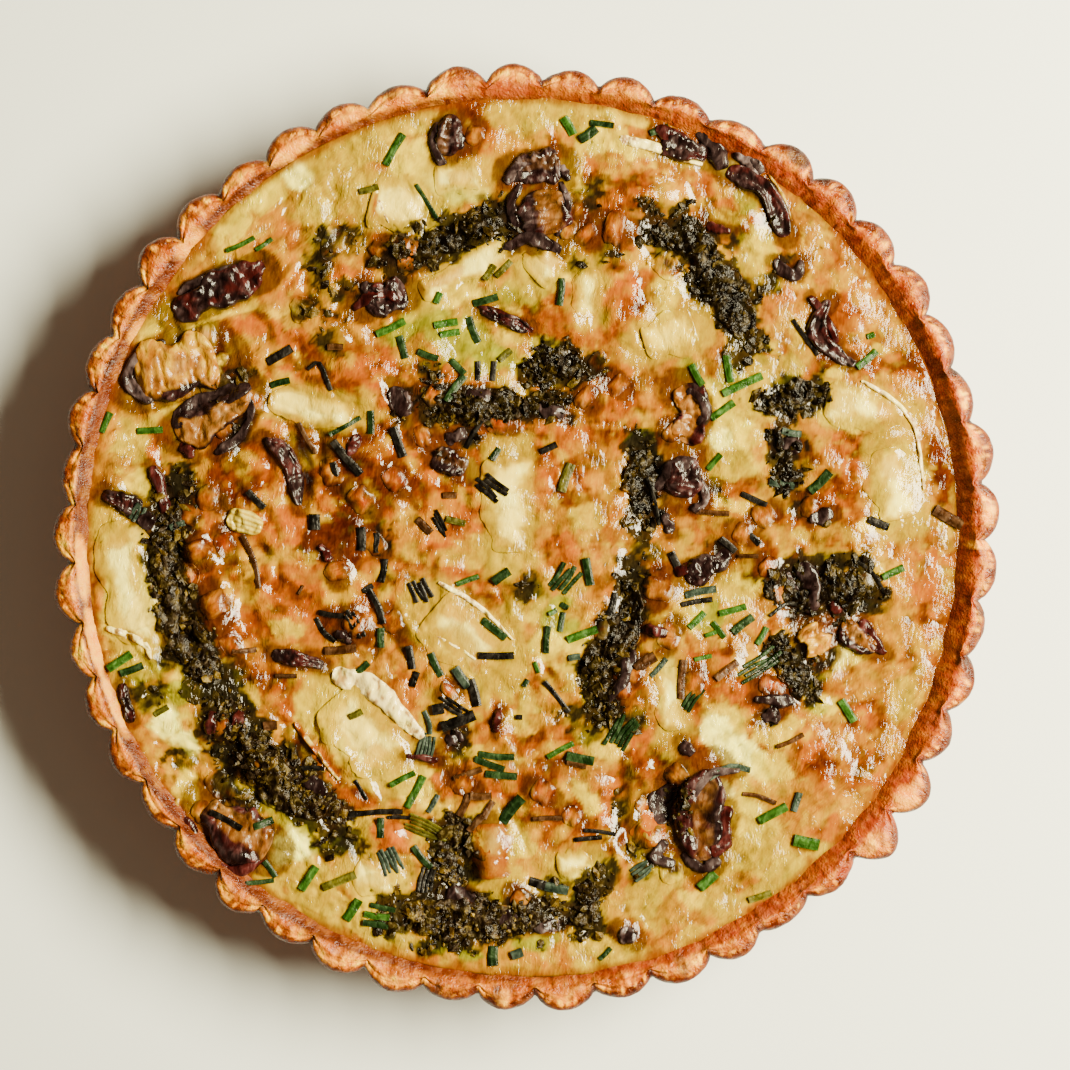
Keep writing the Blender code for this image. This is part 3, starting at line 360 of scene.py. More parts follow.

# ---------------------------------------------------------------- patches of colour on the custard
# (x, y, half length, half width, turn in degrees, strength, tone), painted in this order. Two letters are the
# two tones mixed. Y yellow, G gold, C cream, W white, T tan, O orange, V vivid orange, A amber, R red-brown,
# P pink, E green-yellow, L leaf green, B olive, K black for the dark hollows, partly painted shade.
PATCHES = rows_of("""
    39 -67 4.5 8 10 1 K; 34 -81 6 3 0 0.9 R; 30 -66 5 5 0 0.9 AR; 36 -58 6 6 0 0.9 V; -46 20 9 7 20 0.5 VR;
    -30 6 8 6 -30 0.5 VR; -36 32 8 6 0 0.45 RV; -52 2 7 5 60 0.4 VR; -22 22 7 5 40 0.4 VR;
    -60 14 6 8 0 0.4 VA; -40 -12 8 5 -40 0.4 VA; -66 -12 5 12 12 0.7 V; -44 18 40 40 0 0.85 O;
    -60 -12 26 24 0 0.85 O; -47 -50 32 14 -50 0.7 OG; -40 60 28 18 0 0.7 TG; 25 72 36 22 -15 0.8 O;
    20 26 26 26 0 0.7 OG; 86 18 20 32 0 0.7 OG; 88 -20 18 38 0 0.7 GO; 60 -40 28 14 -20 0.8 O;
    76 -55 22 12 40 0.8 OG; 36 -50 18 22 0 0.7 O; 5 -67 30 12 0 0.85 O; -30 -22 28 22 0 0.7 OG;
    46 3 24 12 0 0.7 OT; -18 8 20 24 0 0.8 O; 70 62 22 12 -45 0.6 OG; -45 98 18 6 22 0.9 Y;
    -57 87 12 9 30 0.8 Y; -59 83 5 8 20 0.9 G; -52 83 6 6 0 0.9 Y; -30 104 12 4 12 0.8 Y;
    -74 80 10 5 45 0.7 C; -66 86 7 4 38 0.7 C; -58 91 4 3 0 0.6 W; -85 71 9 5 48 0.6 T; -97 56 7 6 60 0.7 C;
    -61 73 7 8 0 0.7 G; -64 65 4 7 10 0.6 T; -28 96 6 6 0 0.8 C; -45 90 8 4 0 0.6 Y; -14 103 4 8 0 0.8 A;
    -10 101 4 8 -10 0.8 O; -5 106 7 5 0 0.8 Y; -7 97 4 5 0 0.6 G; -18 89 8 5 0 0.8 W; -21 84 8 3 20 0.5 E;
    -38 82 2.5 7 15 0.9 O; -42 81 3 6 0 0.7 T; -44 76 5 4 0 0.6 B; -50 74 4 6 0 0.7 K;
    -53 66 3.5 7 15 0.6 B; -56 58 4.5 3.5 0 0.7 K; -80 56 8 3 10 0.6 C; -85 51 7 4 0 0.6 C;
    -68 53 9 4 -15 0.9 O; -60 50 7 4 0 0.8 O; -66 46 6 4 0 0.6 G; -56 47 4 3.5 0 0.7 R; -50 50 4 4 0 0.6 B;
    -48 56 4 3.5 0 0.6 B; -46 62 6 3.5 0 0.7 B; -44 66 4 4 0 0.8 O; -41 74 5 4 0 0.5 T; -32 72 7 5 0 0.9 P;
    -37 71 3.5 4 0 0.7 O; -48 54 7 4 0 0.5 G; -40 54 7 4 0 0.6 G; -41 42 9 8 0 1 O; -36 38 5 4 0 0.8 O;
    -47 36 5 3 0 0.6 A; -26 51 5 4 0 0.5 T; -31 34 3.5 4.5 -15 0.9 K; -24 36 4 4 0 0.8 P;
    -24 41 3.5 4 0 0.7 K; -25 56 9 3.5 0 0.8 E; -33 52 5 3 0 0.8 E; -14 50 9 6 0 0.8 E; -7 45 8 4 0 0.7 E;
    -4 55 5 4 0 0.6 C; -19 60 11 3 10 0.7 C; -3 62 4 3 0 0.7 E; -15 66 12 4 27 0.7 C; -20 76 9 6 20 0.9 K;
    -12 79 3.5 3.5 0 0.8 A; -29 77 5 3 0 0.7 K; -7 82 6 5 0 0.7 K; -5 76 5 4 0 0.8 K; -98 25 7 10 0 0.9 Y;
    -93 23 2.5 6 -8 0.8 O; -97 33 6 3.5 0 0.6 G; -103 14 4 5 0 0.6 T; -98 13 6 4 0 0.7 C;
    -87 19 5 4 0 0.7 T; -83 23 4 3 0 0.5 T; -80 35 9 3 30 0.8 K; -77 26 6 4 0 0.7 A; -72 27 3 6 -25 0.8 K;
    -73 41 6 2.5 10 0.7 B; -77 45 2 5 0 0.8 A; -68 34 4 4 0 0.7 P; -62 29 8 3 0 0.6 G; -64 24 5 3 -20 0.6 T;
    -57 18 3 7 12 0.9 R; -70 18 10 7 0 0.9 O; -77 17 5 6 0 0.8 A; -69 12 6 4 0 0.7 R; -75 9 3 3 0 0.6 R;
    -64 12 4 4 0 0.7 O; -82 8 3 4 0 0.8 O; -76 6 4 3 0 0.5 T; -61 4 7 5 0 0.8 O; -87 14 4 5 0 0.9 K;
    -88 5 5 8 0 0.9 K; -96 3 4 3 0 0.7 K; -50 29 6 3 10 0.7 A; -46 24 5 4 0 0.8 R; -50 18 4 6 0 0.8 O;
    -43 17 5 7 -20 0.9 R; -36 23 5 4 0 0.7 A; -33 15 5 7 0 0.9 R; -39 8 6 6 0 0.9 R; -46 8 4 8 0 0.8 R;
    -52 9 3 5 0 0.8 O; -48 2 4 5 0 0.8 R; -28 11 4 5 0 0.7 A; -26 25 4 4 0 0.7 P; -30 7 4 5 0 0.6 T;
    -40 30 4 4 0 0.5 G; -33 29 3.5 3.5 0 0.6 R; -22 29 4 3 0 0.6 B; -10 30 8 3.5 0 0.8 R;
    -5 28 4 3.5 0 0.7 P; -8 35 9 2.5 5 0.8 K; -16 33 5 2.5 20 0.7 A; -20 20 3 3.5 0 0.7 K;
    -14 25 3 3 0 0.7 K; -19 14 4 3 0 0.6 A; -14 17 3 3 0 0.5 C; -12 9 3 4 0 0.6 P; -29 2 4 4 0 0.6 G;
    -36 -1 3 5 0 0.6 K; 5 107 9 3.5 0 0.7 Y; 25 107 9 2.5 -8 0.6 C; 20 100 6 4 0 0.6 C; 29 98 8 3 -8 0.8 C;
    40 96 7 2.5 -15 0.8 C; 8 96 3.5 4 0 0.8 O; 3 99 4 3 0 0.5 G; 12 92 3.5 6 0 0.6 C; 17 87 3.5 4.5 0 0.8 B;
    24 90 7 7 0 0.9 O; 20 84 5 3 0 0.8 O; 31 87 6 6 0 0.8 P; 38 87 6 5 0 0.9 G; 50 86 6 4 0 0.8 O;
    44 91 7 3 0 0.6 O; 46 81 4 3 0 0.7 A; 55 79 4 4 0 0.9 A; 52 94 3 2 0 0.5 W; 56 86 3 4 0 0.6 E;
    63 80 3 5 0 0.6 B; 60 73 5 6 0 0.7 C; 56 70 4 4 0 0.8 Y; 53 75 3 3 0 0.5 B; 70 80 5 3 0 0.5 T;
    73 73 8 8 45 0.9 G; 68 64 5 5 0 0.8 O; 86 63 8 5 -40 0.7 G; 81 57 5 6 0 0.8 P; 91 55 8 6 -50 0.8 G;
    72 60 4 4 0 0.5 G; 64 55 5 6 0 0.6 T; 70 52 4 4 0 0.5 Y; 98 43 5 6 0 0.8 O; 91 42 6 5 0 0.8 O;
    95 36 7 4 -50 0.7 G; 103 29 3 9 10 0.7 T; 105 16 3.5 10 5 0.9 A; 103 7 3 5 0 0.6 G; 75 43 4 3.5 0 0.7 A;
    80 42 4 2 0 0.6 C; 83 32 9 6 -8 0.8 C; 88 25 9 3.5 15 0.9 P; 79 23 5 3 0 0.8 O; 94 14 6 9 0 0.8 C;
    83 18 4 3 0 0.7 O; 81 10 6 4 0 0.9 O; 77 14 4 2.5 0 0.6 R; 87 10 3 3 0 0.6 G; 72 20 3 3 0 0.6 A;
    72 8 4 4 0 0.7 A; 76 5 2.5 2.5 0 0.7 K; 90 3 5 3 0 0.6 C; 17 77 6 6 0 0.8 R; 12 76 4 3 0 0.6 T;
    23 79 4 6 0 0.8 P; 28 78 3.5 6 0 0.7 T; 22 71 4 3 0 0.7 B; 13 69 3 3 0 0.6 B; 34 76 4 5 0 0.8 K;
    39 74 5 6 0 0.8 K; 44 76 4 6 0 0.8 K; 35 69 3 3 0 0.6 G; 46 64 6 6 0 0.9 K; 52 62 5 6 0 0.9 K;
    55 55 3 4 0 0.9 K; 47 60 3 3 0 0.7 R; 61 64 5 2.5 40 0.8 K; 65 69 4 2 40 0.7 K; 5 67 6 6 0 0.9 C;
    3 61 4 3 0 0.6 E; 25 63 5 5 0 0.9 O; 26 54 6 6 0 0.9 P; 25 56 3 5 0 0.6 O; 36 60 5 5 0 0.7 C;
    34 53 5 6 0 0.8 C; 38 51 7 4 0 0.7 C; 43 56 4 4 0 0.6 T; 50 50 5 3 0 0.5 T; 8 56 7 3 -10 0.9 P;
    4 54 5 3 0 0.8 O; 11 51 6 3 -15 0.7 O; 5 49 4 3 0 0.5 E; 9 43 7 5 0 0.8 K; 20 45 5 4 0 0.7 A;
    28 47 6 5 0 0.6 T; 25 40 4 4 0 0.7 O; 20 39 3 4 0 0.7 R; 15 37 4 3.5 0 0.6 P; 3 34 5 4 0 0.8 K;
    12 30 4 2.5 0 0.6 K; 17 30 4 4 0 0.8 O; 24 31 5 7 0 0.9 O; 20 25 4 3 0 0.7 R; 10 25 8 3.5 0 0.9 O;
    2 27 4 3 0 0.8 O; 33 40 4 4 0 0.5 T; 42 42 4 3 0 0.6 E; 47 36 4 5 0 0.7 C; 52 40 6 3 20 0.6 E;
    36 27 3.5 4 0 0.7 T; 52 26 7 5 0 0.8 C; 49 25 4 3 0 0.6 W; 52 18 7 4 0 0.9 Y; 58 33 4 4 0 0.6 Y;
    47 12 5 2.5 0 0.6 B; 56 10 5 3 0 0.6 O; 62 12 4 3 0 0.6 T; 30 16 5 11 0 1 K; 30 25 4 3 0 0.8 K;
    20 15 4 7 0 0.6 G; 12 13 5 7 0 0.7 O; 4 12 3 8 0 0.8 O; 17 5 5 5 0 0.7 Y; 8 5 4 4 0 0.6 G;
    27 1 6 3 0 0.6 T; 38 5 6 3.5 0 0.6 T; 45 8 4 3 0 0.7 O; 55 3 6 4 0 0.8 P; 47 1 4 3 0 0.6 A;
    50 -3 4 2 -30 0.7 K; 52 8 5 2 0 0.5 C; 62 5 5 5 0 0.7 O; 69 9 3 4 0 0.6 B; 67 36 5 5 0 0.9 K;
    72 33 3 3 0 0.7 K; 66 22 3.5 6 0 0.9 K; 70 24 3 2.5 0 0.7 K; 68 17 3 3 0 0.7 B; -104 -10 5 12 8 0.7 C;
    -98 -16 4 8 0 0.8 W; -100 -4 4 4 0 0.6 G; -108 -12 1.5 14 5 0.7 O; -102 -22 5 4 0 0.6 C;
    -100 -25 6 1.2 -20 0.7 A; -97 -29 4 3 0 0.6 C; -95 -5 3.5 4 0 0.8 B; -89 -3 3.5 6 0 0.9 K;
    -88 -14 3 6 0 0.9 K; -86 -22 5 5 0 0.9 K; -82 -30 6 5 0 0.9 K; -77 -37 6 5 -30 0.9 K;
    -73 -42 4 4 0 0.9 K; -91 -31 3 3 0 0.7 B; -83 -3 3.5 5 0 0.8 P; -85 -12 3 5 0 0.9 O; -80 -8 4 6 0 0.8 P;
    -77 -17 4 5 0 0.8 P; -87 -27 3 3 0 0.6 T; -75 -22 5 6 0 0.9 O; -79 -24 1.5 6 15 0.8 R;
    -65 -12 11 9 0 1 O; -61 -20 9 5 0 0.9 O; -71 -3 4 4 0 0.6 G; -58 -5 4 3 0 0.5 G; -60 -24 4 3 0 0.5 C;
    -55 -8 5 4 0 0.6 T; -52 -2 5 5 0 0.8 R; -65 -28 6 2.5 0 0.5 G; -48 -8 5 4 0 0.7 P; -45 -3 3 4 0 0.7 R;
    -50 -22 4 5 0 0.8 R; -43 -22 4 6 0 0.8 P; -44 -25 4 4 0 0.6 R; -40 -30 5 3 0 0.6 T; -36 -12 3 5 0 0.7 A;
    -34 -20 4 6 0 0.8 O; -30 -25 4 4 0 0.7 R; -33 -33 4 3 0 0.5 G; -37 -38 5 3 -40 0.6 T;
    -28 -5 5 4 0 0.6 Y; -20 -5 7 5 0 0.7 O; -12 -4 6 4 0 0.6 Y; -5 -8 4 4 0 0.5 C; -22 -14 5 6 0 0.7 T;
    -14 -22 7 4 -40 0.7 T; -14 -32 9 5 -10 0.6 G; -8 -36 5 3 0 0.7 A; -3 -22 4 6 0 0.6 Y; 0 -13 4 4 0 0.7 B;
    -50 -47 11 9 -50 0.8 C; -42 -51 6 5 0 0.8 W; -65 -37 6 3 0 0.7 A; -61 -45 3 7 35 0.9 O;
    -54 -54 3 8 38 1 O; -47 -62 5 3 -20 0.8 O; -38 -61 6 3 0 0.6 C; -80 -48 4 5 0 0.8 B;
    -75 -53 6 5 0 0.9 K; -70 -49 5 3.5 0 0.9 K; -76 -62 4 5 0 0.8 K; -70 -66 6 3.5 -20 0.7 B;
    -61 -56 5 4 0 0.9 K; -58 -62 6 4 -20 0.9 K; -54 -66 4 3 0 0.8 B; -77 -47 3.5 3 0 0.9 A;
    -66 -57 5 4 0 0.9 P; -95 -40 5 4 0 0.7 B; -88 -40 4 4 0 0.7 E; -98 -35 6 3 0 0.7 E;
    -90 -48 4.5 4 0 0.9 W; -86 -52 2.5 4 0 0.7 W; -88 -56 4 3 0 0.6 B; -86 -63 3.5 4 0 0.6 C;
    -96 -51 3 8 38 0.8 G; -96 -57 1.5 10 38 0.7 O; -57 -71 7 5 0 0.7 E; -62 -68 5 3 0 0.6 E;
    -59 -79 6 5 0 0.9 W; -55 -86 7 5 0 0.7 Y; -50 -78 4 3.5 0 0.7 B; -46 -76 5 3.5 0 0.8 K;
    -65 -89 8 3 -25 0.7 Y; -50 -93 12 3.5 -20 0.8 Y; -37 -88 7 3.5 0 0.8 C; -35 -101 10 2.2 -15 0.8 Y;
    -20 -104 6 2 -8 0.8 E; -13 -106 3 1.8 0 0.9 E; -26 -104 4 2 0 0.6 B; -50 -69 5 4 0 0.7 A;
    -40 -66 8 2.5 0 0.7 A; -36 -75 6 4 0 1 O; -42 -79 3 3 0 0.6 B; -26 -63 7 6 0 0.7 C; -21 -67 4 4 0 0.6 Y;
    -27 -84 3.5 3.5 0 0.6 T; -19 -79 5 6 0 0.9 K; -15 -83 5 5 0 0.8 K; -20 -90 6 5 0 0.9 K;
    -28 -94 5 3.5 0 0.9 K; -14 -96 9 5 0 0.9 K; -4 -97 7 4 0 0.9 K; -9 -79 4.5 6.5 0 1 O;
    -9 -84 3 3 0 0.6 P; -3 -90 4 3 0 0.8 A; -19 -39 4.5 3.5 0 0.9 R; -21 -37 2.5 2.5 0 0.6 O;
    -17 -52 3.5 5 0 0.8 K; -10 -50 5 4 0 0.7 T; -7 -46 2 3 0 0.7 R; -22 -57 3 3.5 0 0.7 R;
    -17 -63 7 4 0 0.9 O; -6 -66 6 4 0 0.9 O; -3 -76 4 3 0 0.6 C; -5 -54 5 3 0 0.6 G; 10 -3 6 4 0 0.9 O;
    2 -12 3 4 0 0.6 K; 20 -5 5 4 0 0.5 T; 25 -8 3 3 0 0.5 B; 31 -4 4 3 0 0.6 B; 27 -17 4 8 0 1 K;
    21 -23 3 4 0 0.8 K; 19 -31 4 5 0 0.8 K; 22 -46 3 3 0 0.8 K; 24 -37 3 4 0 0.9 O; 33 -14 4 6 0 0.9 R;
    37 -15 2.5 4 0 0.7 P; 33 -23 4 3 0 0.8 A; 27 -30 3 3 0 0.6 A; 12 -14 4 3 0 0.6 Y; 9 -20 5 5 0 0.8 E;
    15 -19 4 3 0 0.6 G; 5 -28 4 4 0 0.6 C; 12 -28 4 3 0 0.7 C; 12 -35 5 5 0 0.7 Y; 5 -36 4 3 0 0.6 O;
    17 -40 4 4 0 0.7 E; 12 -45 4 3 0 0.6 B; 5 -46 6 3 -10 0.7 G; 8 -50 6 3 0 0.7 O; 2 -52 4 3 0 0.7 O;
    15 -50 4 3 0 0.5 B; 20 -55 5 4 0 0.5 C; 28 -46 3 4 0 0.6 B; 36 -39 2.5 9 4 0.9 W; 31 -40 1.8 6 0 0.7 G;
    43 -37 4 8 8 0.7 P; 42 -36 2 8 8 0.6 O; 52 -14 7 4 0 0.9 Y; 58 -10 5 3 0 0.7 C; 62 -15 3 4 0 0.6 T;
    60 -8 4 3 0 0.9 R; 66 -5 4 3 0 0.6 P; 47 -21 6 5 0 0.8 E; 42 -20 3 4 0 0.6 C; 56 -21 4 3 0 0.5 G;
    45 -27 5 3 0 0.6 G; 51 -30 5 3 0 0.6 P; 65 -22 3 3.5 0 0.6 O; 55 -27 4 3 0 0.6 G; 69 -13 4 8 0 1 K;
    75 -9 5 5 0 0.9 K; 78 -16 3 4 0 0.8 R; 84 -12 4 4 0 0.7 B; 86 -18 5 2.5 5 0.9 B; 73 -25 5 4 0 0.8 A;
    66 -30 5 3 0 0.8 K; 72 -36 3.5 7 -15 0.9 K; 77 -31 1.5 5 -15 0.8 K; 60 -38 9 3.5 -6 1 R;
    55 -40 5 3 0 0.8 O; 67 -39 4 3 0 0.7 R; 62 -45 3 3 0 0.8 B; 69 -44 4 3 0 0.6 T; 81 -31 5 3.5 0 0.8 C;
    79 -31 3 2.5 0 0.6 W; 76 -43 5 4 0 0.8 C; 74 -44 3 2.5 0 0.5 E; 87 -37 6 6 0 0.9 G;
    93 -22 4.5 14 -5 0.8 G; 97 -10 5 11 0 0.7 G; 102 -15 3 16 -5 0.6 O; 88 -10 4 4 0 0.6 Y;
    96 -40 3.5 9 -20 0.7 Y; 85 -46 6 4 0 0.8 O; 89 -55 7 4 45 0.7 G; 73 -57 5 8 0 1 O; 73 -58 3 4 0 0.6 A;
    85 -60 7 5 40 0.8 O; 80 -51 5 4 0 0.6 G; 82 -67 7 4 45 0.7 G; 50 -46 7 4 -30 0.7 C;
    50 -51 8 4 -35 0.8 W; 56 -55 8 3.5 -35 0.8 W; 63 -59 6 4 -35 0.6 C; 64 -49 6 4 0 0.5 C;
    45 -56 4 3 0 0.6 P; 40 -50 5 4 0 0.9 R; 42 -45 3 3 0 0.7 O; 33 -54 6 5 0 1 O; 34 -55 3 4 0 0.7 R;
    30 -59 6 3 0 0.8 P; 27 -64 3 6 10 0.8 R; 24 -69 2.5 5 0 0.7 B; 38 -57 4 3 0 0.8 R; 49 -65 5 3 0 0.7 W;
    15 -60 7 4 0 0.6 T; 15 -68 4.5 6 0 0.8 C; 3 -63 5 3.5 0 1 O; 3 -63 4 3 0 0.7 R; 8 -68 6 4 0 1 O;
    10 -74 7 3 0 0.9 O; 3 -75 4 3 0 0.6 G; 0 -78 3 3 0 0.7 C; 8 -79 5 2.5 0 0.8 O; 19 -79 5 3 0 0.7 P;
    23 -76 3 2.5 0 0.6 A; 13 -84 4 3 0 0.8 W; 21 -85 3 4 0 0.7 B; 12 -89 4 2.5 0 0.6 Y; 7 -88 4 2.5 0 0.6 B;
    3 -94 5 4 0 0.8 K; 15 -93 3.5 5.5 0 0.9 K; 18 -98 3 2.5 0 0.6 R; 8 -97 4 3 0 0.7 B;
    5 -103 7 2.5 0 0.7 E; 15 -104 5 2.5 0 0.7 Y; 25 -98 4 4 0 0.6 P; 32 -92 6 5 0 0.8 Y;
    39 -95 6 4 10 0.8 G; 43 -92 4 3 0 0.5 C; 30 -85 4 2.5 30 0.6 B; 37 -84 4 2.5 0 0.6 C;
    28 -80 3 3 0 0.6 B; 55 -72 7 7 0 0.8 C; 53 -80 6 5 0 0.7 Y; 61 -77 7 7 0 0.7 Y; 50 -92 8 4 15 0.6 Y;
    65 -84 7 4 35 0.7 Y; 72 -72 7 7 0 0.8 G; 79 -75 4 5 45 0.7 O; 68 -65 6 5 0 0.6 G;
""")
# Stains over the cheese slices, in the same form
STAINS = rows_of("""
    -40 83 3.2 6 0 1 AO; -20 66 6 1.5 25 0.5 T; 88 25.5 10 2.6 12 1 VP; 86 27 5 1.5 12 0.8 V;
    80 34 4 3 0 0.6 Y; 92 33 3 3 0 0.5 GT; 94 18 4 3 0 0.5 CP; -5 15 3 6 0 0.7 W; -3 3 4 5 0 0.7 W;
    -7 -3 3 3 0 0.6 CG; -19 -17 6 3.5 -40 0.9 PC; -10 -24 6 2.5 -40 0.8 PC; -16 -27 6 4 -40 0.8 GE;
    -10 -33 5 4 -40 0.8 AG; -50 -43 6 5 -50 0.7 C; -42 -50 6 5 -50 0.9 W; -48 -52 8 3 -50 0.6 YC;
    -38 -56 4 4 0 0.7 GC; -104 0 3 4 0 0.7 CT; -98 -8 3 5 0 0.7 CY; -97 -20 4 5 0 0.9 W;
    -101 -25 5 1.6 -20 0.8 A; -60 34 6 3 -8 0.8 W; -50 33 5 2.5 -8 0.6 C; 8 70 4 4 0 0.5 GT;
    3 68 3 3 0 0.7 CY; 38 -45 2 4 0 0.7 CY; -16 91 4 2 0 0.6 CT; -31 84 6 4 0 0.8 W; -8 -83 4 3 0 0.7 AP;
    32 -71 2.5 3 0 0.7 V; 37 51 6 3 10 0.6 C; -38 -87 4 2 0 0.5 CY;
""")
# Marks on the crust, in the form of the patches: b burnt, r red and juicy, p pale and flaky
CRUST_MARKS = rows_of("""
    69 96 3.5 2.2 -50 0.9 b; 75 91 2.6 2 -50 0.8 b; -97 -71.5 2.4 1.8 0 0.8 b; -22 -114 1.2 3 0 0.7 b;
    -7 -116 1.2 3 0 0.7 b; 39.5 -108 1.4 3 20 0.7 b; 115 -17 1.4 4 0 0.6 b; 110.5 -31.5 2.4 1.4 0 0.8 b;
    42 -101 4 1.8 25 0.9 r; -5 113 8 1.8 0 0.8 r; 115 -2 3 0.8 0 0.9 p; 116 20 1.2 4 0 0.5 b;
    91 -72 3 2 40 0.8 r; 81 -84 3 1.6 35 0.8 r; -103 45 1 5 -60 0.6 b; -111 8 0.8 9 0 0.5 b;
    -112 -8 1.2 9 5 0.8 p; -109 -26 1.2 9 12 0.8 p; -104 -42 1.2 8 22 0.8 p; -85 74 5 2 45 0.7 p;
    -98 52 4 2 60 0.6 p; -60 97 7 2 30 0.7 p; -34 113 2 3 10 0.7 b; -42 107 8 1.6 18 0.6 p;
    108 42 4 1.2 30 0.7 b; 117 5 1.4 3 0 0.6 p; 112 -45 2 4 20 0.6 p; 96 -66 3 3 0 0.7 p;
""")

# Pieces that stand up under the browned cheese: (x, y, half length, half width, turn, height)
LUMPS = rows_of("""
    -77 -47.5 4.5 3.5 20 1.8; -68 -57.5 5 4 0 1.8; -9 -79 5 6 0 1.6; -3 -90 5 4 0 1.6; -12 77 4.5 3.5 0 1.8;
    -31 73 5.5 3.8 15 1.8; -79 -19 4.5 8 15 2; -82 -3 4 6 0 1.6; -42 41 8 6 0 1.6; -62 46 7 4 20 1.2;
    9 55 8 4 -15 1.4; 24 60 6 8 0 1.4; 30 88 10 6 0 1.4; -38 14 9 7 0 1.4; -14 31 9 4 8 1.2; 5 31 6 4 0 1.2;
    60 -8 5 4.5 0 1.8; 74 18 8 5 0 1.2; 88 25 9 3.5 15 1.6; 60 -39 12 4.5 -8 1.4; 31 -18 4 7 10 1.6;
    27 -40 5 6 0 1.4; 75 -58 7 9 30 1.2; -36 -75 5.5 3.5 0 1.8; -50 75 4 4 0 1; 3 -66 6 4.5 0 1.4;
    -20 -44 8 4 0 1.2; -60 -10 9 9 0 1; -46 -56 9 2.5 -50 1.2; 12 1 7 6 0 1; -46 24 4 6 0 1.2;
    98 40 5 8 -30 1; 55 80 5 4 20 1.2; -45 -24 5 5 0 1.4; -52 52 8 5 0 1.2; 82 0 6 5 0 1;
""")
# Hollows in the custard: (x, y, half length, half width, turn, depth)
HOLLOWS = rows_of("""
    34 -67 5.5 6 0 3.4; -57 18 2.6 7 12 2.6; 27 -18 3.5 10 0 1.6; 69 -14 3.5 7 0 1.8; 88 -17 4 3 10 1.8;
    -81 35 7 2.5 25 1.6; -38 -71 9 2 0 1.8; -84 42 5 5 0 1; 31 13 4.5 7 0 1.6; -15 -84 3 6 0 1.6;
    44 98 6 3 0 1.2; -70 -62 9 2.5 -45 1.6; 24 -66 3 8 0 1.6; 27 -76 3 4 0 1.4;
""")


# ================================================================ shapes worked out with numpy
# Patches that stand up as nuggets and blisters, and dark ones that lie low
SWELLS = {"P": 1.2, "T": 0.5, "O": 0.4, "C": 0.3}
RAISED = [row[:5] + (row[5] * SWELLS[row[6]],) for row in PATCHES if row[6] in SWELLS]
SUNKEN = [row[:5] + (0.6 * row[5],) for row in PATCHES if row[6] in "KB"]


def lattice(column, row, seed):
    """A fixed number from 0 to 1 for each whole point of a lattice: the fraction of a large sine."""
    mixed = np.sin(column * 127.1 + row * 311.7 + seed * 74.7) * 43758.5453
    return mixed - np.floor(mixed)


def noise(x, y, size, seed=0):
    """Smooth noise from -1 to 1: lattice numbers blended with an S-curve, in spots of the given size."""
    x, y = x / size, y / size
    column, row = np.floor(x), np.floor(y)
    u, v = x - column, y - row
    u, v = u * u * (3 - 2 * u), v * v * (3 - 2 * v)
    near = lattice(column, row, seed) * (1 - u) + lattice(column + 1, row, seed) * u
    far = lattice(column, row + 1, seed) * (1 - u) + lattice(column + 1, row + 1, seed) * u
    return 2.0 * (near * (1 - v) + far * v) - 1.0


def fractal(x, y, size, octaves=3, seed=0):
    """Noise over noise: each further layer is half as large, turned, and half as strong."""
    total, strength, reach = 0.0, 1.0, 0.0
    for octave in range(octaves):
        total = total + strength * noise(x, y, size, seed + 11 * octave)
        reach += strength
        x, y = 0.8 * x - 0.6 * y, 0.6 * x + 0.8 * y
        size, strength = size / 2.0, strength / 2.0
    return total / reach


def smooth_step(low, high, value):
    """0 below low, 1 above high, and an S-curve between."""
    t = np.clip((value - low) / (high - low), 0.0, 1.0)
    return t * t * (3.0 - 2.0 * t)


def cosine_sine(degrees):
    """The cosine and the sine of an angle in degrees."""
    return math.cos(math.radians(degrees)), math.sin(math.radians(degrees))


def spots(x, y, rows):
    """How strongly a place lies in the nearest of some flat-topped oval patches."""
    total = np.zeros_like(x)
    for px, py, length, width, turn, strength in rows:
        c, s = cosine_sine(turn)
        along_patch = ((x - px) * c + (y - py) * s) / length
        across_patch = ((y - py) * c - (x - px) * s) / width
        total = np.maximum(total, strength * np.exp(-0.75 * (along_patch**2 + across_patch**2) ** 1.5))
    return total


def along(path, fraction):
    """Points and directions of the smooth curve through a path, at fractions 0 to 1 of its spans."""
    points = np.array(path, dtype=float)
    points = np.vstack((2.0 * points[0] - points[1], points, 2.0 * points[-1] - points[-2]))
    spans = len(path) - 1
    place = np.clip(fraction, 0.0, 1.0) * spans
    first = np.minimum(place.astype(int), spans - 1)
    t = (place - first)[..., None]
    a, b, c, d = (points[first + step] for step in range(4))
    curve = 0.5 * (2 * b + (c - a) * t + (2 * a - 5 * b + 4 * c - d) * t**2 + (3 * b - a - 3 * c + d) * t**3)
    slope = 0.5 * ((c - a) + 2 * (2 * a - 5 * b + 4 * c - d) * t + 3 * (3 * b - a - 3 * c + d) * t**2)
    return curve, slope / np.linalg.norm(slope, axis=-1, keepdims=True)


def path_distance(x, y, path):
    """How far each place lies from the nearest of 25 points along a path."""
    points = along(path, np.linspace(0.0, 1.0, 25))[0]
    return np.hypot(x[..., None] - points[:, 0], y[..., None] - points[:, 1]).min(axis=-1)


def edge_height(angle):
    """The custard's height where it meets the crust: it sank a little on the right."""
    off = (angle - math.radians(2.0) + math.pi) % math.tau - math.pi
    sunk = 1.5 * np.exp(-((off / math.radians(52.0)) ** 2))
    return 27.7 - sunk + 0.2 * np.sin(4 * angle) + 0.15 * np.sin(9 * angle + 1.0)


def inner_radius(height):
    """How far out the crust's inner face stands at a height."""
    return np.interp(height, INNER_HEIGHTS, INNER_RADII)


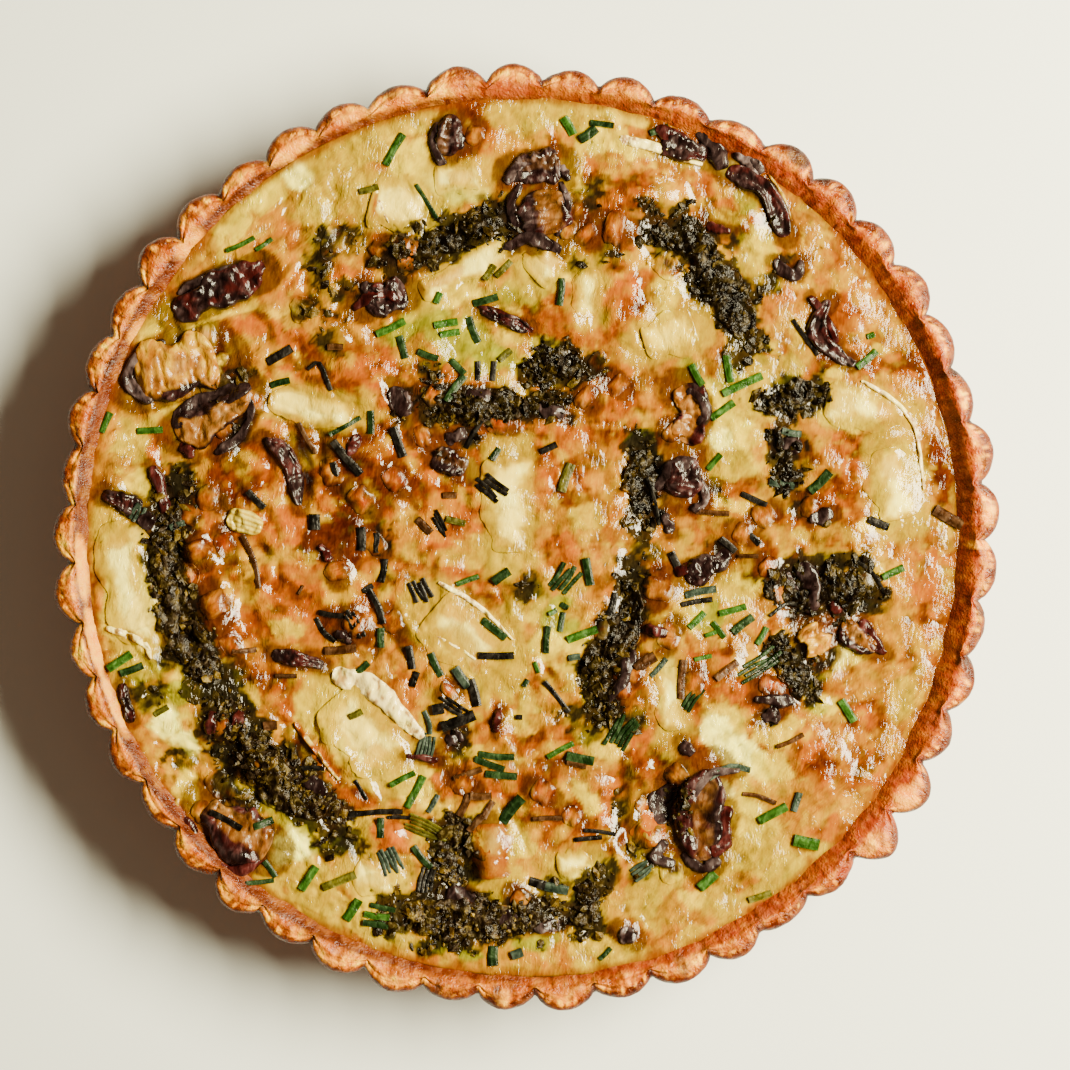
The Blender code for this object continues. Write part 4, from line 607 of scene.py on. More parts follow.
def custard_top(x, y, wrinkled=1.0):
    """The custard's top: the swells of its solid, blisters and wrinkles from noise, nuggets and hollows."""
    angle = np.arctan2(y, x)
    share = np.hypot(x, y) / (inner_radius(edge_height(angle)) - GAP)
    swells = 0.55 * np.sin(x / 10.5 + 0.6) * np.cos(y / 12.0 - 0.4) + 0.45 * np.sin((x + y) / 19.0 + 1.8)
    edge = smooth_step(0.84, 1.0, share)
    level = (1.0 - edge) * (CUSTARD_LEVEL + swells) + edge * edge_height(angle)
    crease = 1.0 - np.abs(fractal(x + 0.3 * y, y * 0.8, 7.0, 2, 6))
    rugged = 0.75 - 0.5 * x / 110.0
    relief = 0.8 * fractal(x, y, 12.0, 2, 3) + rugged * (
        0.4 * fractal(x + 0.4 * y, y * 0.6, 3.8, 2, 5) - 0.7 * wrinkled * crease**6 + 0.2
    )
    web, zone = web_height(x, y)
    relief = relief + (0.2 - 0.8 * wrinkled * web**5) * zone * rugged
    relief = relief * (1.0 - 0.7 * smooth_step(0.92, 1.0, share))
    raised = spots(x, y, RAISED) - spots(x, y, SUNKEN)
    return level + relief - 0.1 + raised + spots(x, y, LUMPS) - spots(x, y, HOLLOWS)


def fluted_radius(angle):
    """The outline over the flutes at the rim, as the solid has it, and how near each place is to a crest."""
    flute = np.round((angle - FIRST_FLUTE) / PITCH) % FLUTES
    shift = 0.010 * fractal(angle * RIM_RADIUS, 0.0 * angle + 9.0, 15.0, 2, 46)
    swell = np.abs(np.cos((angle + shift - FIRST_FLUTE) * FLUTES / 2.0)) ** CREST_SHARPNESS
    depth = FLUTE_DEPTH * (1.0 + 0.16 * np.sin(2.1 * flute) + 0.12 * np.sin(5.3 * flute + 1.0))
    depth = depth + FLARE * np.isin(flute, FLARED_FLUTES)
    groove = RIM_RADIUS - FLUTE_DEPTH + 0.35 * np.sin(3 * angle + 0.6) + 0.20 * np.sin(7 * angle + 2.0)
    uneven = 0.5 * fractal(angle * RIM_RADIUS, 0.0 * angle, 6.0, 3, 43) * (1.0 - 0.6 * swell)
    return groove + depth * (0.13 + 0.87 * swell) + uneven, swell


def rim_height(angle):
    """The height of the rim, which slumped a little here and there as it baked."""
    flute = np.round((angle - FIRST_FLUTE) / PITCH)
    slump = 0.4 * np.sin(2 * angle + 1.0) + 0.3 * np.sin(5 * angle + 0.4) + 0.25 * np.sin(2.7 * flute)
    return RIM_HEIGHT + slump


# ================================================================ meshes
def new_piece(name, points, faces, material, replaces=(), smooth=True, *, tint):
    """A mesh object from points in millimetres, with a tint for each point, riding on the quiche."""
    mesh = bpy.data.meshes.new(name)
    mesh.from_pydata((points * MM).tolist(), [], faces)
    layer = mesh.attributes.new("tint", "FLOAT_COLOR", "POINT")
    opaque = np.column_stack((tint, np.ones(len(tint))))
    layer.data.foreach_set("color", opaque.astype(np.float32).ravel())
    mesh.materials.append(material)
    if smooth:
        mesh.shade_smooth()
    piece = bpy.data.objects.new(name, mesh)
    bpy.context.scene.collection.objects.link(piece)
    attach(piece, "root")
    if replaces:
        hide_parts(*replaces)
    return piece


def ring_faces(rings, sides, start=0):
    """Quads of a tube of rings that closes on itself, facing out where the points turn left about its way."""
    ring, side = np.meshgrid(np.arange(rings - 1), np.arange(sides), indexing="ij")
    after = (side + 1) % sides
    here = start + ring * sides
    quads = np.stack((here + side, here + after, here + sides + after, here + sides + side), axis=-1)
    return quads.reshape(-1, 4).tolist()


def ball_faces(rings, sides):
    """The faces of a tube with a pole point before its first ring and one after its last."""
    first, last = 0, 1 + rings * sides
    side = np.arange(sides)
    after = (side + 1) % sides
    low = np.column_stack((np.full(sides, first), first + 1 + after, first + 1 + side))
    high = np.column_stack((np.full(sides, last), last - sides + side, last - sides + after))
    return ring_faces(rings, sides, first + 1) + low.tolist() + high.tolist()


def blend_colours(base, *layers):
    """Colours painted over each other: each layer is a colour and how much of it each point gets."""
    result = np.broadcast_to(np.array(base[:3], dtype=float), (len(layers[0][1]), 3)).copy()
    for colour, share in layers:
        colour = np.asarray(colour, dtype=float)[..., :3]
        share = np.clip(share, 0.0, 1.0)[:, None]
        result = result * (1.0 - share) + colour * share
    return result


def blend_over(colour, *layers):
    """Further layers over colours that are already an array."""
    for top, share in layers:
        share = np.clip(share, 0.0, 1.0)[:, None]
        colour = colour * (1.0 - share) + np.array(top[:3]) * share
    return np.clip(colour, 0.0, 1.0)


def deepen(colour, middle, power):
    """Colours with more contrast: divided by a middle colour, raised to a power and multiplied again."""
    middle = np.array(middle)
    return middle * (np.maximum(colour, 0.0) / middle) ** power


def herb_share(x, y):
    """How much a place belongs to the ragged clumps of herbs."""
    share = np.zeros_like(x)
    ragged = fractal(x, y, 5.0, 3, 81) + 0.3 * noise(x, y, 1.4, 82)
    for path, width, height in HERBS.values():
        near = np.hypot(x - np.mean([p[0] for p in path]), y - np.mean([p[1] for p in path])) < 45.0
        if near.any():
            reach = path_distance(x[near], y[near], path) / (width / 2.0)
            share[near] = np.maximum(share[near], smooth_step(1.35, 0.85, reach + ragged[near]))
    return share


def herb_painted_shade(x, y):
    """How much of their colour the herbs keep: less towards the right, a painted shade where the key light
    falls stronger.
    """
    return (1.1 - 0.75 * smooth_step(-45.0, 30.0, x + 0.5 * y))[:, None]


def tone_colour(paints, tone):
    """The colour that a tone's letters stand for."""
    names = {
        "Y": paints.yellow, "G": paints.gold, "C": paints.cream, "W": paints.white, "T": paints.tan,
        "O": paints.orange, "V": paints.vivid, "A": paints.amber, "R": paints.red, "P": paints.pink,
        "E": paints.lime, "L": paints.green, "B": paints.moss, "K": paints.dark,
    }
    return np.mean([np.array(names[letter]) for letter in tone], axis=0)


def paint(colour, x, y, rows, paints, blotch):
    """Lay patches over a colour in turn: flat-topped ovals with wandering edges and a browned seam."""
    amber = np.array(paints.amber)
    for px, py, length, width, turn, strength, tone in rows:
        reach = 1.8 * max(length, width)
        near = np.nonzero((np.abs(x - px) < reach) & (np.abs(y - py) < reach))[0]
        if not len(near):
            continue
        c, s = cosine_sine(turn)
        dx, dy = x[near] - px, y[near] - py
        square = ((dx * c + dy * s) / length) ** 2 + ((dy * c - dx * s) / width) ** 2
        weight = np.exp(-0.7 * square**1.3)
        share = smooth_step(0.30, 0.72, weight + 0.5 * blotch[near] * (weight > 0.04))
        seam = 0.35 * np.exp(-(((share - 0.5) / 0.22) ** 2)) * strength * (tone not in "KB")
        share = (share * (0.35 + 0.65 * strength))[:, None]
        mixed = colour[near] * (1.0 - share) + tone_colour(paints, tone) * share
        colour[near] = mixed * (1.0 - seam[:, None]) + amber * seam[:, None]
    return colour


def dark_share(x, y):
    """How much a place belongs to the dark hollows, where herbs and juices gathered and the black patches paint
    shade.
    """
    rows = [row[:6] for row in PATCHES if row[6] in "KB"]
    return np.maximum(0.8 * spots(x, y, rows), herb_share(x, y))


def near_share(x, y, rows, inner, outer, wander):
    """How much a place lies close to some paths with widths: 1 up to inner past the rim, 0 from outer on."""
    share = np.zeros_like(x)
    for path, width in rows:
        middle = np.mean(path, axis=0)
        extent = np.hypot(*(np.array(path) - middle).T).max() + width / 2.0 + outer + 1.5
        near = np.hypot(x - middle[0], y - middle[1]) < extent
        if near.any():
            if len(path) == 1:
                reach = np.hypot(x[near] - middle[0], y[near] - middle[1])
            else:
                reach = path_distance(x[near], y[near], path)
            level = smooth_step(width / 2.0 + outer, width / 2.0 + inner, reach + wander[near])
            share[near] = np.maximum(share[near], level)
    return share


def web_height(x, y):
    """Creases between blisters: 1 along a net of lines about 4 mm apart, 0 on the blisters; fades by area."""
    web = 1.0 - np.abs(fractal(x, y, 4.5, 2, 33))
    return web, smooth_step(-0.5, 0.2, fractal(x, y, 14.0, 2, 34))


def custard_colours(x, y, paints):
    """Browning on the custard: a gold ground, the patches, then flecks and the seam along the crust."""
    wx = x + 2.2 * fractal(x, y, 8.0, 3, 21) + fractal(x, y, 2.4, 2, 22)
    wy = y + 2.2 * fractal(x, y, 8.0, 3, 23) + fractal(x, y, 2.4, 2, 24)
    blotch = fractal(x, y, 3.6, 4, 25)
    fibre = fractal(x * 0.9 + y * 0.35, y * 0.4, 2.0, 3, 26)
    edge = np.hypot(x, y) / (inner_radius(edge_height(np.arctan2(y, x))) - GAP)
    ground = blend_colours(
        paints.gold,
        (paints.yellow, 0.9 * smooth_step(-0.2, 0.2, fractal(x, y, 9.0, 3, 27))),
        (paints.cream, 0.45 * smooth_step(0.15, 0.4, fractal(x, y, 7.0, 3, 29))),
        (paints.orange, 0.5 * smooth_step(0.15, 0.4, fractal(x, y, 6.0, 3, 28))),
    )
    colour = paint(ground, wx, wy, PATCHES, paints, blotch)
    fleck = fractal(x, y, 1.5, 3, 30)
    height = fractal(x, y, 10.0, 3, 3) + 0.5 * fractal(x + 0.4 * y, y * 0.6, 3.6, 3, 5)
    colour = colour * (1.0 + 0.32 * fibre + 0.28 * fleck)[:, None]
    crease = (1.0 - np.abs(fractal(x + 0.3 * y, y * 0.8, 7.0, 2, 6))) ** 10
    web, zone = web_height(x, y)
    blister = smooth_step(0.70, 0.45, web) * zone
    web = web**8 * zone
    lush = smooth_step(0.12, 0.02, colour[:, 0])
    fresh = 0.85 * smooth_step(0.46, 0.56, colour[:, 1] / (colour[:, 0] + 0.001))
    toast = 0.6 * (1.0 - fresh) * smooth_step(0.1, 0.6, height + 0.4 * blotch)
    baked = smooth_step(0.55, 0.30, colour[:, 1] / (colour[:, 0] + 0.001))
    colour = blend_over(
        colour,
        (paints.orange, toast * (1.0 - lush)),
        # Browning with painted light and shade: gold on the blister tops, amber in the creases and in the web
        # between blisters.
        (paints.gold, 0.55 * blister * (1.0 - lush) * (1.0 - fresh)),
        (paints.amber, (0.3 + 0.33 * baked) * (1.0 - 0.7 * fresh) * crease),
        (paints.amber, (0.3 + 0.42 * baked) * (1.0 - 0.7 * fresh) * web),
        (paints.cream, 0.4 * baked * smooth_step(0.1, 0.5, fractal(x, y, 5.0, 3, 39) + 0.2 * height)),
        (paints.red, 0.64 * baked * smooth_step(0.1, 0.45, -fractal(x, y, 3.6, 3, 36) - 0.3 * height)),
        (paints.cream, 0.25 * (1.0 - lush) * smooth_step(0.25, 0.5, fractal(x, y, 2.2, 2, 37) - 0.3 * baked)),
    )
    speckle = smooth_step(0.30, 0.48, 0.9 * dark_share(x, y) + 0.55 * fractal(x, y, 1.7, 3, 35))
    wander = 0.7 * fractal(x, y, 2.6, 2, 86)
    baked_in = [(path, width) for kind, path, width, height in SCRAPS if kind not in "gc"]
    baked_in += [(path, width) for path, width, height in MUSHROOMS.values()]
    seam = near_share(x, y, baked_in, 0.2, 1.7, wander)
    slices = [(path, width * 1.05) for path, width, height in CHEESES.values()]
    melted = near_share(x, y, slices, -1.0, 2.6, 2.5 * wander)
    colour = blend_over(colour, (paints.yellow, 0.75 * melted))
    # Painted shade: the custard's colours are darkened towards the right, where the key light falls stronger.
    colour = deepen(colour, CUSTARD_MIDDLE, CUSTARD_CONTRAST) * (0.86 - 0.13 * x / 110.0)[:, None]
    mossy = smooth_step(0.12, 0.34, 0.9 * dark_share(x, y) + 0.55 * fractal(x, y, 2.6, 3, 38))
    return blend_over(
        colour,
        (paints.green, 0.28 * mossy),
        # Painted shade: amber and dark rims in the custard round the mushrooms and scraps.
        (paints.amber, 0.65 * seam),
        (paints.dark, 0.55 * smooth_step(0.5, 1.0, seam)),
        (paints.dark, 0.92 * speckle),
        (paints.amber, 0.8 * smooth_step(0.975, 0.996, edge + 0.008 * blotch)),
    )


def make_crust(settings):
    """One profile swept round: foot, tapering fluted wall, rounded lip, rim, inner slope and floor.

    Each ring's radius is the fluted outline less an inset. The flutes fade into a circle at the inner face.
    """
    sides = FLUTES * SIDES_OF_A_FLUTE
    angle = np.arange(sides) * math.tau / sides
    outline, swell = fluted_radius(angle)
    rim = rim_height(angle)
    arc = angle * RIM_RADIUS
    rings, kinds = [], []

    def ring(radius, height, kind):
        rings.append(np.column_stack((radius * np.cos(angle), radius * np.sin(angle), height)))
        kinds.append(np.full(sides, kind))

    flat = np.zeros(sides)
    ring(outline - WALL_TAPER - 1.8, flat, 0.0)
    ring(outline - WALL_TAPER - 0.6, flat + 0.25, 0.0)
    wall_steps = 16
    for step in range(wall_steps + 1):
        share = step / wall_steps
        height = 1.4 + share * (rim - 2.2 - 1.4)
        rough = 0.16 * fractal(arc, height + flat, 2.6, 3, 31)
        rough = rough + 0.07 * fractal(arc, height * 2.0 + flat, 0.9, 2, 32)
        ring(outline - WALL_TAPER * (1.0 - share) - 0.25 + rough, height, 0.1 + 0.3 * share)
    lip_steps = 5
    for step in range(1, lip_steps + 1):
        turn = step / lip_steps * math.pi / 2.0
        rough = 0.18 * fractal(arc, flat + 40.0 + step, 1.6, 3, 33)
        radius = outline - 0.25 - 2.3 * (1.0 - math.cos(turn)) + rough
        ring(radius, rim - 2.2 + 2.2 * math.sin(turn) + rough, 0.4 + 0.04 * step)
    rim_steps = 11
    creased = smooth_step(-0.3, 0.4, fractal(arc, flat, 14.0, 2, 45) - 0.5 * np.cos(angle))
    inner_edge = INNER_RADII[2] - 0.5 * swell + 0.35 * fractal(arc, flat, 5.0, 3, 34)
    for step in range(1, rim_steps + 1):
        share = step / rim_steps
        radius = (outline - 2.55) * (1.0 - share) + inner_edge * share
        crown = 0.6 * math.sin(math.pi * share) - 0.5 * share**3 - 0.9 * (1.0 - swell) * (1.0 - share) ** 3
        fold = np.exp(-(((share - 0.66 + 0.08 * fractal(arc, flat, 9.0, 2, 44)) / 0.09) ** 2))
        rough = 0.45 * fractal(arc, radius * 0.5, 2.4, 3, 35) + 0.18 * noise(arc, radius, 0.8, 36)
        rough = rough - 0.35 * fold * creased
        ring(radius, rim + crown + rough, 0.6 + 0.2 * share)
    slope_steps = 8
    for step in range(1, slope_steps + 1):
        share = step / slope_steps
        drop = 7.6 * share**1.15
        radius = inner_edge - (INNER_RADII[2] - INNER_RADII[1]) * share
        rough = 0.22 * fractal(arc, radius + 3.0, 2.4, 3, 37)
        ring(radius + rough, np.minimum(rim, 29.9) - 0.3 - drop + rough, 0.8 + 0.2 * share)
    ring(flat + INNER_RADII[0], flat + INNER_HEIGHTS[0], 1.0)

    points = np.vstack(rings)
    reach = CRUST_REACH - 0.02
    points[:, :2] = np.clip(points[:, :2], -reach, reach)
    kind = np.concatenate(kinds)
    count = len(rings)
    faces = ring_faces(count, sides)
    faces.append(list(range(sides - 1, -1, -1)))
    faces.append(list(range((count - 1) * sides, count * sides)))

    all_angle = np.tile(angle, count)
    all_swell = np.tile(swell, count)
    all_arc = all_angle * RIM_RADIUS
    blotch = fractal(all_arc, points[:, 2] * 1.2 + kind * 20, 6.0, 4, 38)
    fine = fractal(all_arc, points[:, 2] * 2 + kind * 60, 1.5, 3, 39)
    lip = np.exp(-(((kind - 0.50) / 0.09) ** 2))
    groove = 1.0 - smooth_step(0.0, 0.5, all_swell)
    radius = np.hypot(points[:, 0], points[:, 1])
    # The dark inner wall: juices all round, and painted shade that makes it darker and wider on the right,
    # where the wall faces away from the key light.
    facing = smooth_step(-0.1, 0.9, np.cos(all_angle - math.radians(2.0)))
    ragged = radius - 112.2 - 2.8 * facing - 0.7 * blotch - 0.4 * fine
    painted_shade_right = 0.35 + 0.65 * smooth_step(-0.2, 0.5, np.cos(all_angle))
    inner = smooth_step(0.7, -0.7, ragged) * (kind > 0.55) * painted_shade_right
    # Painted light: the rim's top is painted paler and less brown towards the upper left.
    painted_light_left = smooth_step(-0.3, 0.9, np.cos(all_angle - math.radians(150.0)))
    streak = fractal(all_arc, radius * 0.25, 0.9, 2, 40)
    share = (kind - 0.6) / 0.2
    fold = np.exp(-(((share - 0.66 + 0.08 * fractal(all_arc, 0.0 * all_arc, 9.0, 2, 44)) / 0.11) ** 2))
    fold = fold * np.tile(creased, count) * (kind > 0.6)
    top = smooth_step(0.50, 0.60, kind)
    rim_edge = kind + 0.10 * blotch + 0.05 * fine
    # Painted light: these masks paint the rim paler towards the left, with a wider bloom band and a thinner
    # dark inner line there, and browner towards the right.
    painted_light_shift = 0.05 * smooth_step(-0.1, 0.7, np.cos(all_angle - math.radians(180.0)))
    painted_glow_left = 0.25 + 0.75 * smooth_step(-0.1, 0.7, np.cos(all_angle - math.radians(165.0)))
    band = painted_glow_left * smooth_step(0.60, 0.70, rim_edge + painted_light_shift + 0.06 * streak)
    colour = blend_colours(
        settings.tan,
        (settings.pale, (0.45 + 0.3 * painted_light_left) * smooth_step(-0.4, 0.3, blotch + 0.5 * streak + 0.3 * painted_light_left) * top),
        (settings.bloom, 0.95 * band * smooth_step(-0.3, 0.5, blotch + 0.6 * fine + 0.3 * streak)),
        (settings.brown, 0.6 * (1.0 - painted_glow_left) * smooth_step(0.68, 0.78, rim_edge + 0.04 * streak)),
        # Brown on the outer third of the rim and on the wall: browning, with painted shade on the outer edge.
        (
            settings.brown,
            (0.95 - 0.2 * painted_light_left) * smooth_step(0.66, 0.55, rim_edge + painted_light_shift) * smooth_step(0.05, 0.42, kind),
        ),
        # Brown and burnt in the notches between the flutes: browning, with painted shade in the notches.
        (settings.brown, 0.85 * groove * smooth_step(0.74, 0.62, rim_edge + painted_light_shift)),
        (settings.burnt, 0.7 * groove**2 * smooth_step(0.68, 0.58, rim_edge)),
        (settings.brown, 0.75 * smooth_step(-0.05, 0.35, -blotch + 0.6 * streak - 0.1) * (1.0 - 0.6 * band)),
        (settings.bloom, 0.7 * smooth_step(0.15, 0.45, streak + 0.3 * fine) * top * (kind < 0.8)),
        (settings.brown, 0.2 * (kind < 0.45)),
        (settings.dark, 0.45 * fold * smooth_step(-0.3, 0.4, blotch + fine)),
        (settings.dark, 0.95 * inner),
        (settings.brown, 0.6 * inner * smooth_step(0.1, 0.5, fine + 0.5 * blotch)),
        # Burnt in the notches and on the outer rim: scorching, with painted shade in the notches.
        (settings.burnt, 0.8 * groove * smooth_step(0.60, 0.50, rim_edge) * smooth_step(-0.2, 0.3, fine)),
        (settings.burnt, 0.7 * smooth_step(0.3, 0.8, -fine + 0.3 * groove - 0.3) * (kind < 0.7)),
    )
    speck = fractal(all_arc, radius * 0.8 + points[:, 2], 0.8, 3, 46)
    colour = colour * (1.0 + 0.45 * streak + 0.35 * fine + 0.25 * speck)[:, None].clip(0.35, 1.6)
    line = smooth_step(1.9, 0.6, radius - 111.0 - 34.0 * painted_light_shift - 0.8 * blotch - 0.4 * fine) * (kind > 0.6)
    toasted = smooth_step(0.0, 0.4, -blotch + 0.6 * fine + 0.7 * streak + 0.1) * smooth_step(0.58, 0.66, kind)
    colour = blend_over(
        colour,
        (settings.tan, 0.75 * toasted),
        (settings.brown, 0.95 * line * (1.0 - 0.85 * inner)),
        (settings.burnt, 0.3 * line**3 * (1.0 - inner)),
    )
    colour = deepen(colour, CRUST_MIDDLE, CRUST_CONTRAST) * CRUST_BRIGHTNESS
    for x, y, length, width, turn, strength, tone in CRUST_MARKS:
        mark = spots(points[:, 0], points[:, 1], [(x, y, length, width, turn, strength)]) * (kind > 0.45)
        mark = smooth_step(0.15, 0.6, mark + 0.3 * blotch * (mark > 0.05))
        shade = {"b": settings.burnt, "r": settings.dark, "p": settings.bloom}[tone]
        colour = blend_over(colour, (shade, strength * mark))
    material = food_material("Baked pastry")
    return new_piece("crust_pastry", points, faces, material, ("crust",), tint=colour)


def make_custard(settings):
    """A square grid drawn round onto a disc, lifted to the custard's top, with sides down to its foot."""
    cells = CUSTARD_CELLS
    line = np.linspace(-1.0, 1.0, cells)
    u, v = np.meshgrid(line, line)
    u, v = (u * np.sqrt(1.0 - v**2 / 2.0)).ravel(), (v * np.sqrt(1.0 - u**2 / 2.0)).ravel()
    reach = inner_radius(edge_height(np.arctan2(v, u))) - GAP
    x, y = u * reach, v * reach
    top = np.column_stack((x, y, custard_top(x, y)))

    index = np.arange(cells * cells).reshape(cells, cells)
    quads = np.stack((index[:-1, :-1], index[:-1, 1:], index[1:, 1:], index[1:, :-1]), axis=-1)
    faces = quads.reshape(-1, 4).tolist()
    border = np.concatenate((index[0, :-1], index[:-1, -1], index[-1, :0:-1], index[:0:-1, 0]))
    bearing = np.arctan2(y[border], x[border])
    skirt = []
    for height in (INNER_HEIGHTS[1], INNER_HEIGHTS[0] + GAP):
        radius = inner_radius(height) - GAP
        level = np.full(len(border), height)
        skirt.append(np.column_stack((radius * np.cos(bearing), radius * np.sin(bearing), level)))
    low = cells * cells + np.arange(len(border))
    lower = low + len(border)
    for upper_ring, lower_ring in ((border, low), (low, lower)):
        band = np.stack((upper_ring, lower_ring, np.roll(lower_ring, -1), np.roll(upper_ring, -1)), axis=-1)
        faces += band.tolist()
    faces.append(lower[::-1].tolist())
    points = np.vstack([top] + skirt)
    colour = custard_colours(points[:, 0], points[:, 1], settings)
    material = food_material("Browned custard")
    return new_piece("custard_top", points, faces, material, ("custard",), tint=colour)


def bent_ball(
    path, width, height, rings, sides, squareness, sink,
    dish=0.0, soft=0.85, seed=0.0, lumps=0.0, grain=2.0, ragged=0.0, wrinkled=1.0,
):
    """A ball drawn out along a path: u runs along it, v round it. Returns points, u, across and up.

    girth = sin(pi u) ** squareness, across = girth cos v, up = girth sin v. The underside is sunk into the
    custard. A dish lowers the middle of the top, so that the sides stand up as on a curled slice.
    """
    u = (1.0 - np.cos(np.linspace(0.0, math.pi, rings + 2)[1:-1])) / 2.0
    v = np.arange(sides) * math.tau / sides
    u, v = (values.ravel() for values in np.meshgrid(u, v, indexing="ij"))
    girth = np.sin(np.arccos(1.0 - 2.0 * u)) ** squareness
    side, rise = np.cos(v), np.sin(v)
    side = np.sign(side) * np.abs(side) ** 0.8
    rise = np.sign(rise) * np.abs(rise) ** soft
    u = np.concatenate(([0.0], u, [1.0]))
    across = np.concatenate(([0.0], girth * side, [0.0]))
    up = np.concatenate(([0.0], girth * rise, [0.0]))

    centre, direction = along(path, u)
    left = np.column_stack((-direction[:, 1], direction[:, 0]))
    uneven = 0.16 * np.sin(5.0 * u + seed) + 0.10 * np.sin(11.0 * u + 2.0 * seed + across)
    uneven = 1.0 + uneven * (0.35 if ragged < 0.2 else 1.0)
    uneven = uneven + ragged * fractal(u * 9.0 + 5.0 * seed, 2.0 * np.sign(across), 1.6, 3, 42)
    flat = centre + left * (across * uneven * width / 2.0)[:, None]
    x, y = flat[:, 0], flat[:, 1]
    hollow = dish * (1.0 - np.abs(across) ** 1.5) * np.clip(up, 0.0, 1.0)
    body = np.where(up > 0.0, height * (up - hollow), sink * up)
    bumps = lumps * fractal(x + seed * 7, y, grain, 3, 41) * smooth_step(0.0, 0.5, up)
    z = custard_top(x, y, wrinkled) + body + bumps + 0.1
    return np.column_stack((x, y, np.minimum(z, TOP_LIMIT - TOP_MARGIN))), u, across, up


def make_cheese(name, settings, custard, material):
    """A melted slice: a squared ball with soft corners, which takes the custard's colour at its edge."""
    path, width, height = CHEESES[name]
    seed = path[0][0] * 0.37 + path[0][1] * 0.11
    rings, sides = 72, 72
    points, u, across, up = bent_ball(
        path, width * 1.15, height * 0.15, rings, sides, 0.40, 1.2,
        soft=2.4, seed=seed, lumps=0.25, grain=5.0, ragged=0.25, wrinkled=0.4,
    )
    x, y = points[:, 0], points[:, 1]
    browned = "brown" in name
    blotch = fractal(x, y, 6.0, 4, 51)
    fine = fractal(x, y, 1.8, 3, 52)
    reach = np.maximum(np.abs(across), np.abs(2 * u - 1) ** 3)
    edge = smooth_step(0.30, 0.85, reach + 0.45 * blotch + 0.2 * fine - 0.3 * browned)
    middle = smooth_step(0.85, 0.30, reach + 0.3 * blotch)
    core = smooth_step(0.55, 0.05, reach + 0.5 * blotch + 0.2 * fine)
    colour = blend_colours(
        settings.browned if browned else settings.yellow,
        (settings.cream, (0.12 if browned else 0.9) * middle),
        (settings.yellow, 0.7 * smooth_step(0.0, 0.45, blotch)),
        (settings.browned, (0.6 if browned else 0.2) * smooth_step(0.2, 0.7, -blotch + 0.3 * fine)),
        (settings.pale, 0.9 * core * (0.1 if browned else 1.0)),
        (settings.pale, (0.1 if browned else 0.35) * smooth_step(0.1, 0.6, fine)),
    )
    colour = paint(colour, x + 0.8 * fine, y + 0.8 * blotch, STAINS, custard, blotch)
    share = edge[:, None]
    colour = colour * (1.0 - share) + custard_colours(x, y, custard) * share
    faces = ball_faces(rings, sides)
    return new_piece(name + "_melt", points, faces, material, (name,), tint=colour)


def make_rinds(settings, material):
    """Crumbly white rinds along the edges of some cheese slices: thin rough balls drawn out along paths."""
    for name, (path, width, height) in RINDS.items():
        rings, sides = 90, 24
        points, u, across, up = bent_ball(
            path, width, height, rings, sides, 0.4, 1.0, soft=1.0, lumps=0.7, grain=1.5, ragged=0.5
        )
        x, y = points[:, 0], points[:, 1]
        crumb = fractal(x, y, 1.2, 3, 55)
        colour = blend_colours(
            settings.browned if name in BROWNED_RINDS else settings.rind,
            (settings.pale, 0.6 * smooth_step(-0.2, 0.5, fractal(x, y, 3.0, 3, 56))),
            (settings.browned, 0.75 * smooth_step(0.1, 0.4, crumb)),
        )
        new_piece(name, points, ball_faces(rings, sides), material, tint=colour)


def make_mushroom(name, settings, paints, material):
    """A curled slice: a dished ball with a ragged outline, dark skin at its rims and flesh in the dish."""
    path, width, height = MUSHROOMS[name]
    dish, flesh, side, red, grey = MUSHROOM_LOOKS[name]
    seed = path[0][0] * 0.23 + path[0][1] * 0.31
    rings, sides = 72, 60
    points, u, across, up = bent_ball(
        path, width * 1.05, height * 0.7, rings, sides, 0.6, 1.5,
        dish=dish + 0.2, seed=seed, lumps=0.7, grain=3.2, ragged=0.32,
    )
    x, y = points[:, 0], points[:, 1]
    wrinkle = fractal(u * 24.0 + seed, across * 5.0, 2.0, 3, 61)
    fold = (1.0 - np.abs(fractal(u * 10.0 + seed, across * 3.0, 1.8, 2, 63))) ** 5
    points[:, 2] -= 0.5 * fold * np.clip(up, 0.0, 1.0)
    blotch = fractal(x, y, 3.0, 3, 62)
    reach = 0.25 + 0.6 * flesh
    inside = smooth_step(reach + 0.12, reach - 0.12, np.abs(across - 0.25 * side) + 0.35 * blotch)
    inside = inside * smooth_step(0.1, 0.4, up)
    colour = blend_colours(
        settings.skin,
        (settings.red, red * smooth_step(-0.2, 0.3, blotch + 0.3 * wrinkle)),
        # Grey: the cap's dry bloom, and a painted blue-grey reflection.
        (settings.grey, 0.8 * grey * smooth_step(0.1, 0.5, wrinkle)),
        (settings.flesh, min(1.0, 1.6 * flesh) * inside * (0.6 + 0.4 * smooth_step(-0.3, 0.3, wrinkle))),
        (settings.skin, 0.8 * fold * (1.0 - 0.7 * inside * flesh)),
    )
    coated = 0.8 * inside * smooth_step(0.85, 1.0, flesh) * smooth_step(-0.5, 0.1, blotch + 0.2 * wrinkle)
    glossy = 0.5 * coated * smooth_step(0.0, 0.4, blotch)
    colour = blend_over(colour, (paints.gold, coated), (paints.cream, glossy))
    faces = ball_faces(rings, sides)
    return new_piece(name + "_slice", points, faces, material, (name,), tint=colour)


